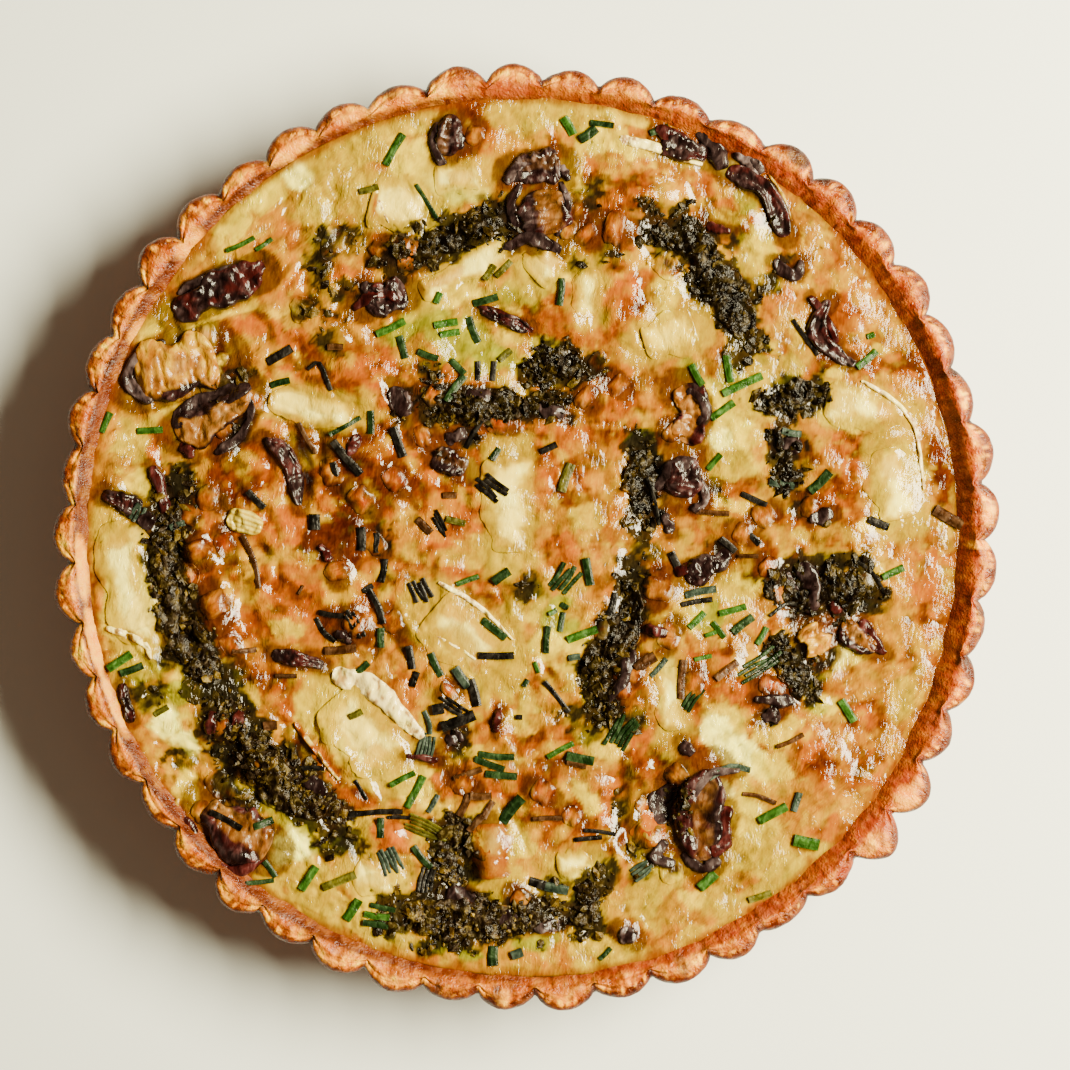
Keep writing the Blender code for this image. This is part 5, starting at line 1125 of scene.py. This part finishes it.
def make_scraps(settings, paints, herbs, material):
    """Scraps, folds and nuggets among the toppings: ragged bent balls, joined into one mesh."""
    tones = {
        "k": (settings.skin, settings.grey, 0.15), "m": (settings.red, settings.skin, 0.5),
        "b": (settings.skin, settings.grey, 0.7), "f": (settings.flesh, paints.tan, 0.7),
        "n": (paints.orange, paints.tan, 0.6), "o": (paints.vivid, paints.orange, 0.4),
        "g": (herbs.leaf, herbs.leaf_olive, 0.5), "c": (paints.cream, paints.white, 0.5),
    }
    rings, sides = 26, 20
    shapes, tints, all_faces, rims = [], [], [], []
    total = 0
    for kind, path, width, height in SCRAPS:
        if len(path) == 1:
            path = [(path[0][0] - width / 2.0, path[0][1]), (path[0][0] + width / 2.0, path[0][1])]
        first, second, amount = tones[kind]
        seed = path[0][0] * 0.41 + path[0][1] * 0.17
        nugget = kind in "nofgc"
        points, u, across, up = bent_ball(
            path, width * (1.3 if nugget else 1.0), height * (0.22 if nugget else 0.75),
            rings, sides, 0.5, 1.2, seed=seed,
            dish=0.0 if nugget else 0.35, soft=1.3 if nugget else 1.1, lumps=0.45 if nugget else 0.8,
            grain=2.4, ragged=0.16 if nugget else 0.5,
        )
        x, y = points[:, 0], points[:, 1]
        blotch = fractal(x, y, 2.4, 3, 64) + 0.3 * noise(x, y, 0.7, 65)
        shapes.append(points)
        tints.append(blend_colours(
            first,
            (second, amount * smooth_step(-0.2, 0.35, blotch)),
            (paints.red if nugget else settings.skin, 0.6 * smooth_step(0.1, 0.45, -blotch)),
        ))
        outward = np.maximum(np.abs(across), np.abs(2 * u - 1) ** 2)
        rims.append(smooth_step(0.2, 0.85, outward + 0.4 * blotch) * nugget)
        all_faces += [[total + index for index in face] for face in ball_faces(rings, sides)]
        total += len(points)
    points, tint, rim = np.vstack(shapes), np.vstack(tints), np.concatenate(rims)[:, None]
    rim = np.where(rim > 0.0, 0.45 + 0.55 * rim, 0.0)
    tint = tint * (1.0 - rim) + custard_colours(points[:, 0], points[:, 1], paints) * rim
    return new_piece("scraps", points, all_faces, material, tint=tint)


def make_herb_mound(name, settings, paints, material):
    """The core of a clump of chopped herbs: a low ragged ball under the loose leaves."""
    path, width, height = HERBS[name]
    seed = path[0][0] * 0.19 + path[0][1] * 0.29
    rings, sides = 96, 60
    points, u, across, up = bent_ball(
        path, width * 0.95, height * 0.4, rings, sides, 0.55, 1.5,
        soft=1.2, seed=seed, lumps=1.6, grain=3.0, ragged=0.8,
    )
    x, y = points[:, 0], points[:, 1]
    fine = fractal(x, y, 1.3, 3, 71)
    blotch = fractal(x, y, 5.0, 3, 72)
    colour = blend_colours(
        settings.leaf_dark,
        (settings.leaf, 0.8 * smooth_step(0.0, 0.4, fine)),
        (settings.leaf_olive, 0.6 * smooth_step(0.35, 0.7, blotch + 0.5 * fine)),
    )
    # Painted shade: the herbs are darkened towards the right.
    colour = colour * herb_painted_shade(x, y)
    rim = np.maximum(np.abs(across), np.abs(2 * u - 1) ** 3) + 0.7 * fractal(x, y, 4.0, 3, 73)
    share = smooth_step(0.55, 0.95, rim)[:, None]
    colour = colour * (1.0 - share) + custard_colours(x, y, paints) * share
    faces = ball_faces(rings, sides)
    return new_piece(name + "_core", points, faces, material, (name,), tint=colour)


class Ground:
    """Finds the top of the pieces built so far, straight down from any place."""

    def __init__(self, pieces):
        points, faces = [], []
        for piece in pieces:
            offset = len(points)
            points += [vertex.co.copy() for vertex in piece.data.vertices]
            faces += [[offset + index for index in polygon.vertices] for polygon in piece.data.polygons]
        self.tree = BVHTree.FromPolygons(points, faces)

    def heights(self, x, y):
        """Heights in millimetres under the places."""
        down = Vector((0.0, 0.0, -1.0))
        found = []
        for px, py in zip(x.ravel(), y.ravel()):
            spot = self.tree.ray_cast(Vector((px * MM, py * MM, 1.0)), down)[0]
            found.append(spot.z / MM if spot else HEIGHT_OFF_THE_PIECES)
        return np.array(found).reshape(x.shape)


def make_flakes(name, x, y, z, size, colour, material, seed):
    """Many small crumpled flakes: each a five-sided double cone, flattened, turned and set at its place."""
    count = len(x)
    draw = np.random.default_rng(seed)
    sides = 5
    angle = np.arange(sides) * math.tau / sides
    ball = np.vstack((
        [(0, 0, -1)], np.column_stack((np.cos(angle), np.sin(angle), np.zeros(sides))), [(0, 0, 1)]
    ))
    spreads = ((0.7, 1.5), (0.4, 0.9), (0.25, 0.6))
    stretch = np.column_stack([draw.uniform(low, high, count) for low, high in spreads])
    uneven = draw.uniform(0.7, 1.3, (count, len(ball), 3))
    shapes = ball[None] * uneven * (stretch * size[:, None])[:, None, :]
    turn, tip, roll = draw.uniform(0, math.tau, count), draw.normal(0, 0.5, count), draw.normal(0, 0.5, count)
    for first, second, amount in ((1, 2, roll), (0, 2, tip), (0, 1, turn)):
        a, b = shapes[:, :, first].copy(), shapes[:, :, second].copy()
        c, s = np.cos(amount)[:, None], np.sin(amount)[:, None]
        shapes[:, :, first], shapes[:, :, second] = a * c - b * s, a * s + b * c
    points = (shapes + np.column_stack((x, y, z))[:, None, :]).reshape(-1, 3)
    points[:, 2] = np.minimum(points[:, 2], TOP_LIMIT - SMALL_MARGIN)
    one = np.array([(0, 1 + (k + 1) % sides, 1 + k) for k in range(sides)]
                   + [(sides + 1, 1 + k, 1 + (k + 1) % sides) for k in range(sides)])
    faces = (one[None] + (np.arange(count) * len(ball))[:, None, None]).reshape(-1, 3).tolist()
    tint = np.repeat(colour, len(ball), axis=0)
    return new_piece(name, points, faces, material, smooth=False, tint=tint)


def make_herb_leaves(settings, ground, material):
    """Loose chopped leaves over and around the clumps and dark hollows: fine ones, then larger ones."""
    sorts = (("herb_crumbs", 60000, 0.35, 0.9, 7), ("herb_leaves", 16000, 0.8, 2.1, 9))
    for name, tries, low, high, seed in sorts:
        draw = np.random.default_rng(seed)
        reach, turn = LEAVES_REACH * np.sqrt(draw.uniform(0, 1, tries)), draw.uniform(0, math.tau, tries)
        x, y = reach * np.cos(turn), reach * np.sin(turn)
        share = dark_share(x, y) * (0.7 + 0.8 * fractal(x, y, 4.0, 2, 83))
        keep = share * settings.leaf_density > draw.uniform(0.25, 1.3, tries)
        x, y = x[keep][:MOST_LEAVES], y[keep][:MOST_LEAVES]
        count = len(x)
        size = draw.uniform(low, high, count)
        pick = draw.uniform(0, 1, count) + 0.35 * fractal(x, y, 3.0, 2, 84)
        pick = pick + 0.45 * (1.0 - share[keep][:MOST_LEAVES])
        colour = blend_colours(
            settings.leaf_dark,
            (settings.leaf, (pick > 0.45).astype(float)),
            (settings.leaf_olive, 0.6 * (pick > 0.95)),
            (settings.leaf_pale, 0.5 * (pick > 1.3)),
        )
        # Painted shade: the herbs are darkened towards the right.
        colour = colour * herb_painted_shade(x, y)
        z = ground.heights(x, y) + draw.uniform(-0.35, 0.25, count)
        make_flakes(name, x, y, z, size, colour, material, seed + 1)


def blade(ground, path, width, thickness, lift=0.0, lean=0.0):
    """A cut leaf along a path: rings of a flattened eight-sided tube, ridged lengthwise, with square ends."""
    sides, rings = 8, 7
    fraction = np.linspace(0.0, 1.0, rings)
    centre, direction = along(path, fraction)
    left = np.column_stack((-direction[:, 1], direction[:, 0]))
    ground_z = ground.heights(centre[:, 0], centre[:, 1])
    slope, level = np.polyfit(fraction - 0.5, ground_z, 1)
    slope = np.clip(slope, -1.5, 1.5)
    straight = level + slope * (fraction - 0.5)
    z = 0.5 * straight + 0.5 * np.maximum(ground_z, straight)
    z = z + thickness * 0.35 + lift + lean * (fraction - 0.5)
    angle = (np.arange(sides) + 0.5) * math.tau / sides
    ridge = 1.0 + 0.25 * (np.arange(sides) % 2)
    across = np.cos(angle) * width / 2.0
    up = np.sin(angle) * thickness / 2.0 * ridge
    flat = centre[:, None, :] + left[:, None, :] * across[None, :, None]
    heights = z[:, None] + up[None, :]
    points = np.concatenate((flat, heights[..., None]), axis=-1).reshape(-1, 3)
    faces = ring_faces(rings, sides)
    faces.append(list(range(sides - 1, -1, -1)))
    faces.append(list(range((rings - 1) * sides, rings * sides)))
    # Painted light and shade: the raised ridges are painted lighter and the sides between them darker.
    shade = np.tile(np.where(np.arange(sides) % 2, 1.25, 0.75), rings)
    return points, faces, shade


def make_chives(settings, ground, material):
    """Every cut chive, bundle of strands and long strand, joined into one mesh."""
    draw = np.random.default_rng(17)
    tones = {
        "g": settings.green, "d": settings.deep, "o": settings.olive,
        "b": settings.brown, "k": settings.black, "t": settings.teal,
    }
    rows = []
    for x, y, turn, length, width, tone in CHIVES:
        c, s = cosine_sine(turn)
        bow = draw.uniform(-0.04, 0.04) * length
        half = length / 2.0
        path = [(x - c * half, y - s * half), (x - s * bow, y + c * bow), (x + c * half, y + s * half)]
        rows.append((path, width, tone))
    for x, y, turn, length, spread, count, tone in BUNDLES:
        c, s = cosine_sine(turn)
        for strand in range(count):
            off = ((strand + 0.5) / count - 0.5) * spread
            slip = draw.uniform(-0.15, 0.15) * length
            fan = draw.uniform(-0.12, 0.12) * length
            half = length / 2.0
            cx, cy = x - s * off + c * slip, y + c * off + s * slip
            tip = (cx + c * half - s * fan, cy + s * half + c * fan)
            path = [(cx - c * half, cy - s * half), (cx, cy), tip]
            rows.append((path, spread / count * 0.9, tone))
    rows += STRANDS
    all_points, all_faces, all_tints = [], [], []
    total = 0
    for path, width, tone in rows:
        thickness = max(0.45, 0.34 * width)
        lift, lean = draw.uniform(0.0, 0.25), draw.uniform(-0.3, 0.3)
        points, faces, shade = blade(ground, path, width, thickness, lift, lean)
        along_tone = 1.0 + 0.25 * noise(points[:, 0] + points[:, 1], points[:, 1] * 0.0, 2.0, total % 97)
        # The ridges' painted light and shade is multiplied into each chive's colour.
        tint = np.array(tones[tone])[None, :] * (shade * along_tone * draw.uniform(0.8, 1.2))[:, None]
        all_points.append(points)
        all_tints.append(np.clip(tint, 0.0, 1.0))
        all_faces += [[total + index for index in face] for face in faces]
        total += len(points)
    points = np.vstack(all_points)
    points[:, 2] = np.minimum(points[:, 2], TOP_LIMIT - SMALL_MARGIN)
    tint = np.vstack(all_tints)
    return new_piece("chives", points, all_faces, material, smooth=False, tint=tint)


def make_onion(settings, material):
    """A translucent curl of onion: a flattened ball with ribs along it."""
    for name, (path, width, height) in ONIONS.items():
        rings, sides = 60, 48
        points, u, across, up = bent_ball(
            path, width * 1.1, height * 0.7, rings, sides, 0.5, 1.2, lumps=0.4, grain=1.6
        )
        ribs = 0.5 + 0.5 * np.sin(across * 16.0 + 2.0 * u)
        colour = blend_colours(settings.yellow, (settings.pale, 0.7 * ribs * np.clip(up, 0, 1)))
        faces = ball_faces(rings, sides)
        new_piece(name + "_rings", points, faces, material, (name,), tint=colour)


# ================================================================ materials
# Name: (relief inputs, lowest and highest roughness, depth of the relief in mm, mottling, specular)
RELIEF_INPUTS = ("Coarse scale", "Fine scale", "Stretch", "Fine share", "Patchiness")
FINISHES = {
    "Baked pastry": ((420.0, 1700.0, 1.0, 0.5, 0.4), (0.20, 0.48), 0.9, 0.25, 0.26),
    "Browned custard": ((1250.0, 2600.0, 0.36, 0.15, 0.88), (0.04, 0.10), 0.42, 0.12, 0.4),
    "Melted cheese": ((1250.0, 2600.0, 0.36, 0.15, 0.8), (0.06, 0.16), 0.36, 0.10, 0.45),
    "Roasted mushroom": ((500.0, 1500.0, 0.5, 0.35, 0.0), (0.13, 0.34), 0.4, 0.3, 0.3),
    "Roasted herbs": ((700.0, 2200.0, 0.7, 0.4, 0.0), (0.12, 0.34), 0.6, 0.4, 0.16),
    "Baked chives": ((600.0, 1800.0, 0.7, 0.4, 0.0), (0.15, 0.4), 0.4, 0.25, 0.14),
}


def new_material(name):
    """A new node material, its nodes and its links."""
    material = bpy.data.materials.new(name)
    material.use_nodes = True
    return material, material.node_tree.nodes, material.node_tree.links


def add_node(nodes, kind, operation=None, **values):
    """A shader node with some inputs set: an underscore in a value's name is a space in the input's."""
    node = nodes.new(kind)
    if operation:
        node.operation = operation
    for name, value in values.items():
        node.inputs[name.replace("_", " ")].default_value = value
    return node


def relief_group():
    """Fine relief for all the food: two scales of noise, weaker in calm patches, as a height and a mask."""
    group = bpy.data.node_groups.get("Food relief")
    if group:
        return group
    group = bpy.data.node_groups.new("Food relief", "ShaderNodeTree")
    for name in RELIEF_INPUTS:
        group.interface.new_socket(name, in_out="INPUT", socket_type="NodeSocketFloat")
    for name in ("Height", "Mask"):
        group.interface.new_socket(name, in_out="OUTPUT", socket_type="NodeSocketFloat")
    nodes, join = group.nodes, group.links.new
    given, results = nodes.new("NodeGroupInput").outputs, nodes.new("NodeGroupOutput").inputs
    place = nodes.new("ShaderNodeTexCoord").outputs["Object"]
    stretch = add_node(nodes, "ShaderNodeCombineXYZ", X=1.0, Z=1.0)
    scaled = add_node(nodes, "ShaderNodeVectorMath", "MULTIPLY")
    turned = add_node(nodes, "ShaderNodeMapping", Rotation=(0.0, 0.0, 0.15))
    join(given["Stretch"], stretch.inputs["Y"])
    join(place, turned.inputs["Vector"])
    join(turned.outputs["Vector"], scaled.inputs[0])
    join(stretch.outputs["Vector"], scaled.inputs[1])
    coarse = add_node(nodes, "ShaderNodeTexNoise", Detail=3.0, Distortion=0.6)
    fine = add_node(nodes, "ShaderNodeTexNoise", Detail=2.0)
    for texture, scale in ((coarse, "Coarse scale"), (fine, "Fine scale")):
        join(scaled.outputs["Vector"], texture.inputs["Vector"])
        join(given[scale], texture.inputs["Scale"])
    mix = nodes.new("ShaderNodeMix")
    join(given["Fine share"], mix.inputs["Factor"])
    join(coarse.outputs["Fac"], mix.inputs["A"])
    join(fine.outputs["Fac"], mix.inputs["B"])
    broad = add_node(nodes, "ShaderNodeTexNoise", Scale=170.0, Detail=3.0)
    join(place, broad.inputs["Vector"])
    calm = add_node(nodes, "ShaderNodeMapRange", From_Min=0.62, From_Max=0.44)
    join(broad.outputs["Fac"], calm.inputs["Value"])
    share = add_node(nodes, "ShaderNodeMath", "MULTIPLY")
    join(calm.outputs["Result"], share.inputs[0])
    join(given["Patchiness"], share.inputs[1])
    left = add_node(nodes, "ShaderNodeMath", "SUBTRACT")
    left.inputs[0].default_value = 1.0
    join(share.outputs["Value"], left.inputs[1])
    height = add_node(nodes, "ShaderNodeMath", "MULTIPLY")
    join(mix.outputs["Result"], height.inputs[0])
    join(left.outputs["Value"], height.inputs[1])
    join(height.outputs["Value"], results["Height"])
    join(coarse.outputs["Fac"], results["Mask"])
    return group


def food_material(name):
    """A moist baked surface: the painted tint, mottled, under a rough-and-smooth gloss with fine relief."""
    relief, roughness, depth, mottling, specular = FINISHES[name]
    material, nodes, links = new_material(name)
    shader = nodes["Principled BSDF"]
    shader.inputs["Specular IOR Level"].default_value = specular
    tint = nodes.new("ShaderNodeAttribute")
    tint.attribute_name = "tint"
    group = nodes.new("ShaderNodeGroup")
    group.node_tree = relief_group()
    for key, value in zip(RELIEF_INPUTS, relief):
        group.inputs[key].default_value = value
    lighten = add_node(
        nodes, "ShaderNodeMapRange", From_Min=0.3, From_Max=0.7, To_Min=1.0 + mottling, To_Max=1.0 - mottling
    )
    mottle = nodes.new("ShaderNodeGamma")
    links.new(group.outputs["Mask"], lighten.inputs["Value"])
    links.new(tint.outputs["Color"], mottle.inputs["Color"])
    links.new(lighten.outputs["Result"], mottle.inputs["Gamma"])
    links.new(mottle.outputs["Color"], shader.inputs["Base Color"])
    gloss = add_node(
        nodes, "ShaderNodeMapRange", From_Min=0.35, From_Max=0.65, To_Min=roughness[0], To_Max=roughness[1]
    )
    links.new(group.outputs["Mask"], gloss.inputs["Value"])
    links.new(gloss.outputs["Result"], shader.inputs["Roughness"])
    bump = add_node(nodes, "ShaderNodeBump", Strength=1.0, Distance=depth * MM)
    links.new(group.outputs["Height"], bump.inputs["Height"])
    links.new(bump.outputs["Normal"], shader.inputs["Normal"])
    return material


# ================================================================ the stage
LAMP_TURN = math.radians(10.0)
LAMP_REACH = 0.85
CAMERA_PLACE = (0.0025, 0.0005, 0.85)
HALF_VIEW = 0.135


def make_stage(settings):
    """A pale floor, a wide soft key light from the right, a faint warm sky and a camera straight above."""
    bpy.ops.mesh.primitive_plane_add(size=4.0, location=(0.0, 0.0, -0.0002))
    floor = bpy.context.object
    floor.name = "floor"
    material, nodes, links = new_material("Pale plaster")
    nodes["Principled BSDF"].inputs["Base Color"].default_value = (*settings.floor, 1.0)
    nodes["Principled BSDF"].inputs["Roughness"].default_value = 0.8
    floor.data.materials.append(material)

    key = bpy.data.lights.new("key", "AREA")
    key.shape = "ELLIPSE"
    key.size = settings.key_size
    key.size_y = 0.3
    key.energy = settings.key_power
    key.color = (1.0, 0.90, 0.60)
    lamp = bpy.data.objects.new("key", key)
    rise = math.radians(settings.key_rise)
    level_reach = LAMP_REACH * math.cos(rise)
    lamp.location = (
        level_reach * math.cos(LAMP_TURN), level_reach * math.sin(LAMP_TURN), LAMP_REACH * math.sin(rise)
    )
    lamp.rotation_euler = (math.pi / 2.0 - rise, 0.0, LAMP_TURN + math.pi / 2.0)
    bpy.context.scene.collection.objects.link(lamp)

    world = bpy.data.worlds.new("sky")
    world.use_nodes = True
    world.node_tree.nodes["Background"].inputs["Color"].default_value = (1.0, 0.62, 0.36, 1.0)
    world.node_tree.nodes["Background"].inputs["Strength"].default_value = settings.sky
    bpy.context.scene.world = world

    camera = bpy.data.cameras.new("camera")
    camera.angle = 2.0 * math.atan(HALF_VIEW / (CAMERA_PLACE[2] - RIM_HEIGHT * MM))
    eye = bpy.data.objects.new("camera", camera)
    eye.location = CAMERA_PLACE
    bpy.context.scene.collection.objects.link(eye)
    bpy.context.scene.camera = eye


# ================================================================ settings
def colour_setting(name, description, default):
    """A colour property of the add-on."""
    return bpy.props.FloatVectorProperty(
        name=name, description=description, subtype="COLOR", size=3, min=0.0, max=1.0, default=default
    )


class CrustSettings(bpy.types.PropertyGroup):
    """Colours of the pastry."""

    tan: colour_setting("Tan", "Main colour of the baked pastry", (0.36, 0.080, 0.0))
    pale: colour_setting("Pale", "Pastry that browned least", (0.56, 0.162, 0.0))
    bloom: colour_setting("Bloom", "Dry flaky skin", (0.95, 0.37, 0.004))
    # Brown: the most browned pastry, and painted shade in the notches and on the outer edges.
    brown: colour_setting("Brown", "Edges and grooves that browned most", (0.13, 0.022, 0.001))
    # Dark: cooked juices on the inner wall, and painted shade where the wall faces away from the key light on
    # the right.
    dark: colour_setting("Dark", "Inner wall, dark with cooked juices", (0.30, 0.048, 0.006))
    burnt: colour_setting("Burnt", "Scorched specks", (0.03, 0.010, 0.006))


class CustardSettings(bpy.types.PropertyGroup):
    """Colours of the custard and of its browning."""

    yellow: colour_setting("Yellow", "Set custard", (0.40, 0.239, 0.0))
    gold: colour_setting("Gold", "Custard that began to brown", (0.43, 0.188, 0.0))
    cream: colour_setting("Cream", "Thin melted cheese", (0.62, 0.41, 0.0))
    white: colour_setting("White", "Thick melted cheese", (0.86, 0.66, 0.08))
    tan: colour_setting("Tan", "Dry pale skin", (0.36, 0.150, 0.008))
    orange: colour_setting("Orange", "Browned cheese", (0.37, 0.100, 0.0))
    vivid: colour_setting("Vivid orange", "Cheese browned through", (0.29, 0.045, 0.0))
    amber: colour_setting("Amber", "Darker browning", (0.13, 0.022, 0.0))
    red: colour_setting("Red", "Deepest browning", (0.050, 0.007, 0.001))
    pink: colour_setting("Pink", "Skin that shines through cheese", (0.30, 0.080, 0.004))
    lime: colour_setting("Lime", "Custard stained by herbs", (0.24, 0.20, 0.0))
    green: colour_setting("Green", "Herbs just under the custard", (0.07, 0.075, 0.003))
    moss: colour_setting("Moss", "Fine herbs in the custard", (0.035, 0.022, 0.002))
    # Dark: herbs and juices, and painted shade round the mushrooms and scraps and in the black patches.
    dark: colour_setting("Dark", "Juices round mushrooms and herbs", (0.006, 0.004, 0.002))


class CheeseSettings(bpy.types.PropertyGroup):
    """Colours of the cheese slices."""

    cream: colour_setting("Cream", "Soft cheese", (0.64, 0.44, 0.004))
    rind: colour_setting("Rind", "White rind", (0.86, 0.70, 0.28))
    yellow: colour_setting("Yellow", "Cheese that took custard's colour", (0.40, 0.25, 0.0))
    pale: colour_setting("Pale", "Rind and driest cheese", (0.95, 0.84, 0.16))
    browned: colour_setting("Browned", "Browned cheese", (0.20, 0.042, 0.0))


class MushroomSettings(bpy.types.PropertyGroup):
    """Colours of the mushroom slices."""

    skin: colour_setting("Skin", "Roasted cap", (0.010, 0.004, 0.004))
    red: colour_setting("Red", "Thin skin that light shines through", (0.045, 0.006, 0.005))
    flesh: colour_setting("Flesh", "Cut flesh and gills", (0.34, 0.13, 0.016))
    # Grey: the cap's dry bloom, and a painted blue-grey reflection on the skin.
    grey: colour_setting("Grey", "Dry bloom of the cap", (0.11, 0.075, 0.075))


class HerbSettings(bpy.types.PropertyGroup):
    """Colours and amount of the chopped herbs."""

    leaf_dark: colour_setting("Dark leaf", "Leaves that roasted nearly black", (0.009, 0.005, 0.002))
    leaf: colour_setting("Leaf", "Roasted leaves", (0.027, 0.017, 0.003))
    leaf_olive: colour_setting("Olive leaf", "Leaves with custard on them", (0.10, 0.056, 0.004))
    leaf_pale: colour_setting("Pale leaf", "Leaves coated with custard", (0.26, 0.16, 0.008))
    leaf_density: bpy.props.FloatProperty(
        name="Leaf density", description="How thickly loose leaves lie on the dark places",
        default=1.0, min=0.0, max=5.0,
    )


class ChiveSettings(bpy.types.PropertyGroup):
    """Colours of the cut chives."""

    green: colour_setting("Green", "Fresh chive", (0.020, 0.060, 0.006))
    deep: colour_setting("Deep green", "Roasted chive", (0.008, 0.020, 0.005))
    olive: colour_setting("Olive", "Chive under cheese", (0.06, 0.055, 0.006))
    brown: colour_setting("Brown", "Browned chive", (0.045, 0.018, 0.006))
    black: colour_setting("Black", "Charred chive", (0.006, 0.005, 0.004))
    teal: colour_setting("Teal", "Chive that reflects the sky", (0.022, 0.034, 0.024))


class StageSettings(bpy.types.PropertyGroup):
    """Floor and light."""

    floor: colour_setting("Floor", "Pale floor", (0.84, 0.90, 0.90))
    key_power: bpy.props.FloatProperty(
        name="Key power", description="Power of the key light", default=44.0, min=0.0, max=500.0, unit="POWER"
    )
    key_size: bpy.props.FloatProperty(
        name="Key size", description="Width of the key light", default=0.7, min=0.01, max=3.0, unit="LENGTH"
    )
    key_rise: bpy.props.FloatProperty(
        name="Key rise", description="How high the key light stands, in degrees",
        default=45.0, min=5.0, max=90.0,
    )
    sky: bpy.props.FloatProperty(
        name="Sky", description="Strength of the soft sky light", default=0.15, min=0.0, max=5.0
    )


# ================================================================ operators and panel
def built_pieces():
    """The pieces that loose leaves and chives can lie on."""
    endings = ("custard_top", "_melt", "_slice", "_core", "_rings", "crust_pastry")
    return [piece for piece in bpy.context.scene.objects if piece.name.endswith(endings)]


class QUICHE_OT_crust(bpy.types.Operator):
    """Build the fluted pastry crust"""

    bl_idname = "quiche.crust"
    bl_label = "Crust"

    def execute(self, context):
        make_crust(context.scene.quiche_crust)
        return {"FINISHED"}


class QUICHE_OT_custard(bpy.types.Operator):
    """Build the browned custard"""

    bl_idname = "quiche.custard"
    bl_label = "Custard"

    def execute(self, context):
        make_custard(context.scene.quiche_custard)
        return {"FINISHED"}


class QUICHE_OT_cheese(bpy.types.Operator):
    """Build the melted cheese slices and the onion"""

    bl_idname = "quiche.cheese"
    bl_label = "Cheese"

    def execute(self, context):
        material = food_material("Melted cheese")
        make_onion(context.scene.quiche_cheese, material)
        make_rinds(context.scene.quiche_cheese, material)
        for name in CHEESES:
            make_cheese(name, context.scene.quiche_cheese, context.scene.quiche_custard, material)
        return {"FINISHED"}


class QUICHE_OT_mushrooms(bpy.types.Operator):
    """Build the roasted mushroom slices"""

    bl_idname = "quiche.mushrooms"
    bl_label = "Mushrooms"

    def execute(self, context):
        material = food_material("Roasted mushroom")
        for name in MUSHROOMS:
            make_mushroom(name, context.scene.quiche_mushrooms, context.scene.quiche_custard, material)
        settings = context.scene
        make_scraps(settings.quiche_mushrooms, settings.quiche_custard, settings.quiche_herbs, material)
        return {"FINISHED"}


class QUICHE_OT_herbs(bpy.types.Operator):
    """Build the clumps of chopped herbs and their loose leaves"""

    bl_idname = "quiche.herbs"
    bl_label = "Herbs"

    def execute(self, context):
        material = food_material("Roasted herbs")
        for name in HERBS:
            make_herb_mound(name, context.scene.quiche_herbs, context.scene.quiche_custard, material)
        make_herb_leaves(context.scene.quiche_herbs, Ground(built_pieces()), material)
        return {"FINISHED"}


class QUICHE_OT_chives(bpy.types.Operator):
    """Scatter the cut chives and strands over the top"""

    bl_idname = "quiche.chives"
    bl_label = "Chives"

    def execute(self, context):
        material = food_material("Baked chives")
        make_chives(context.scene.quiche_chives, Ground(built_pieces()), material)
        return {"FINISHED"}


class QUICHE_OT_stage(bpy.types.Operator):
    """Set out the floor, the light and the camera"""

    bl_idname = "quiche.stage"
    bl_label = "Stage"

    def execute(self, context):
        make_stage(context.scene.quiche_stage)
        return {"FINISHED"}


class QUICHE_PT_panel(bpy.types.Panel):
    """Lists the pieces of the quiche"""

    bl_label = "Quiche"
    bl_idname = "QUICHE_PT_panel"
    bl_space_type = "VIEW_3D"
    bl_region_type = "UI"
    bl_category = "Quiche"

    def draw(self, context):
        for operator in OPERATORS:
            self.layout.operator(operator.bl_idname)


SETTINGS = {
    "quiche_crust": CrustSettings,
    "quiche_custard": CustardSettings,
    "quiche_cheese": CheeseSettings,
    "quiche_mushrooms": MushroomSettings,
    "quiche_herbs": HerbSettings,
    "quiche_chives": ChiveSettings,
    "quiche_stage": StageSettings,
}
OPERATORS = (
    QUICHE_OT_crust, QUICHE_OT_custard, QUICHE_OT_cheese, QUICHE_OT_mushrooms,
    QUICHE_OT_herbs, QUICHE_OT_chives, QUICHE_OT_stage,
)


def register():
    for name, group in SETTINGS.items():
        bpy.utils.register_class(group)
        setattr(bpy.types.Scene, name, bpy.props.PointerProperty(type=group))
    for operator in OPERATORS:
        bpy.utils.register_class(operator)
    bpy.utils.register_class(QUICHE_PT_panel)


def unregister():
    bpy.utils.unregister_class(QUICHE_PT_panel)
    for operator in reversed(OPERATORS):
        bpy.utils.unregister_class(operator)
    for name, group in SETTINGS.items():
        delattr(bpy.types.Scene, name)
        bpy.utils.unregister_class(group)


def main():
    """Build every piece in order."""
    register()
    bpy.ops.quiche.crust()
    bpy.ops.quiche.custard()
    bpy.ops.quiche.cheese()
    bpy.ops.quiche.mushrooms()
    bpy.ops.quiche.herbs()
    bpy.ops.quiche.chives()
    bpy.ops.quiche.stage()


if __name__ == "__main__":
    main()
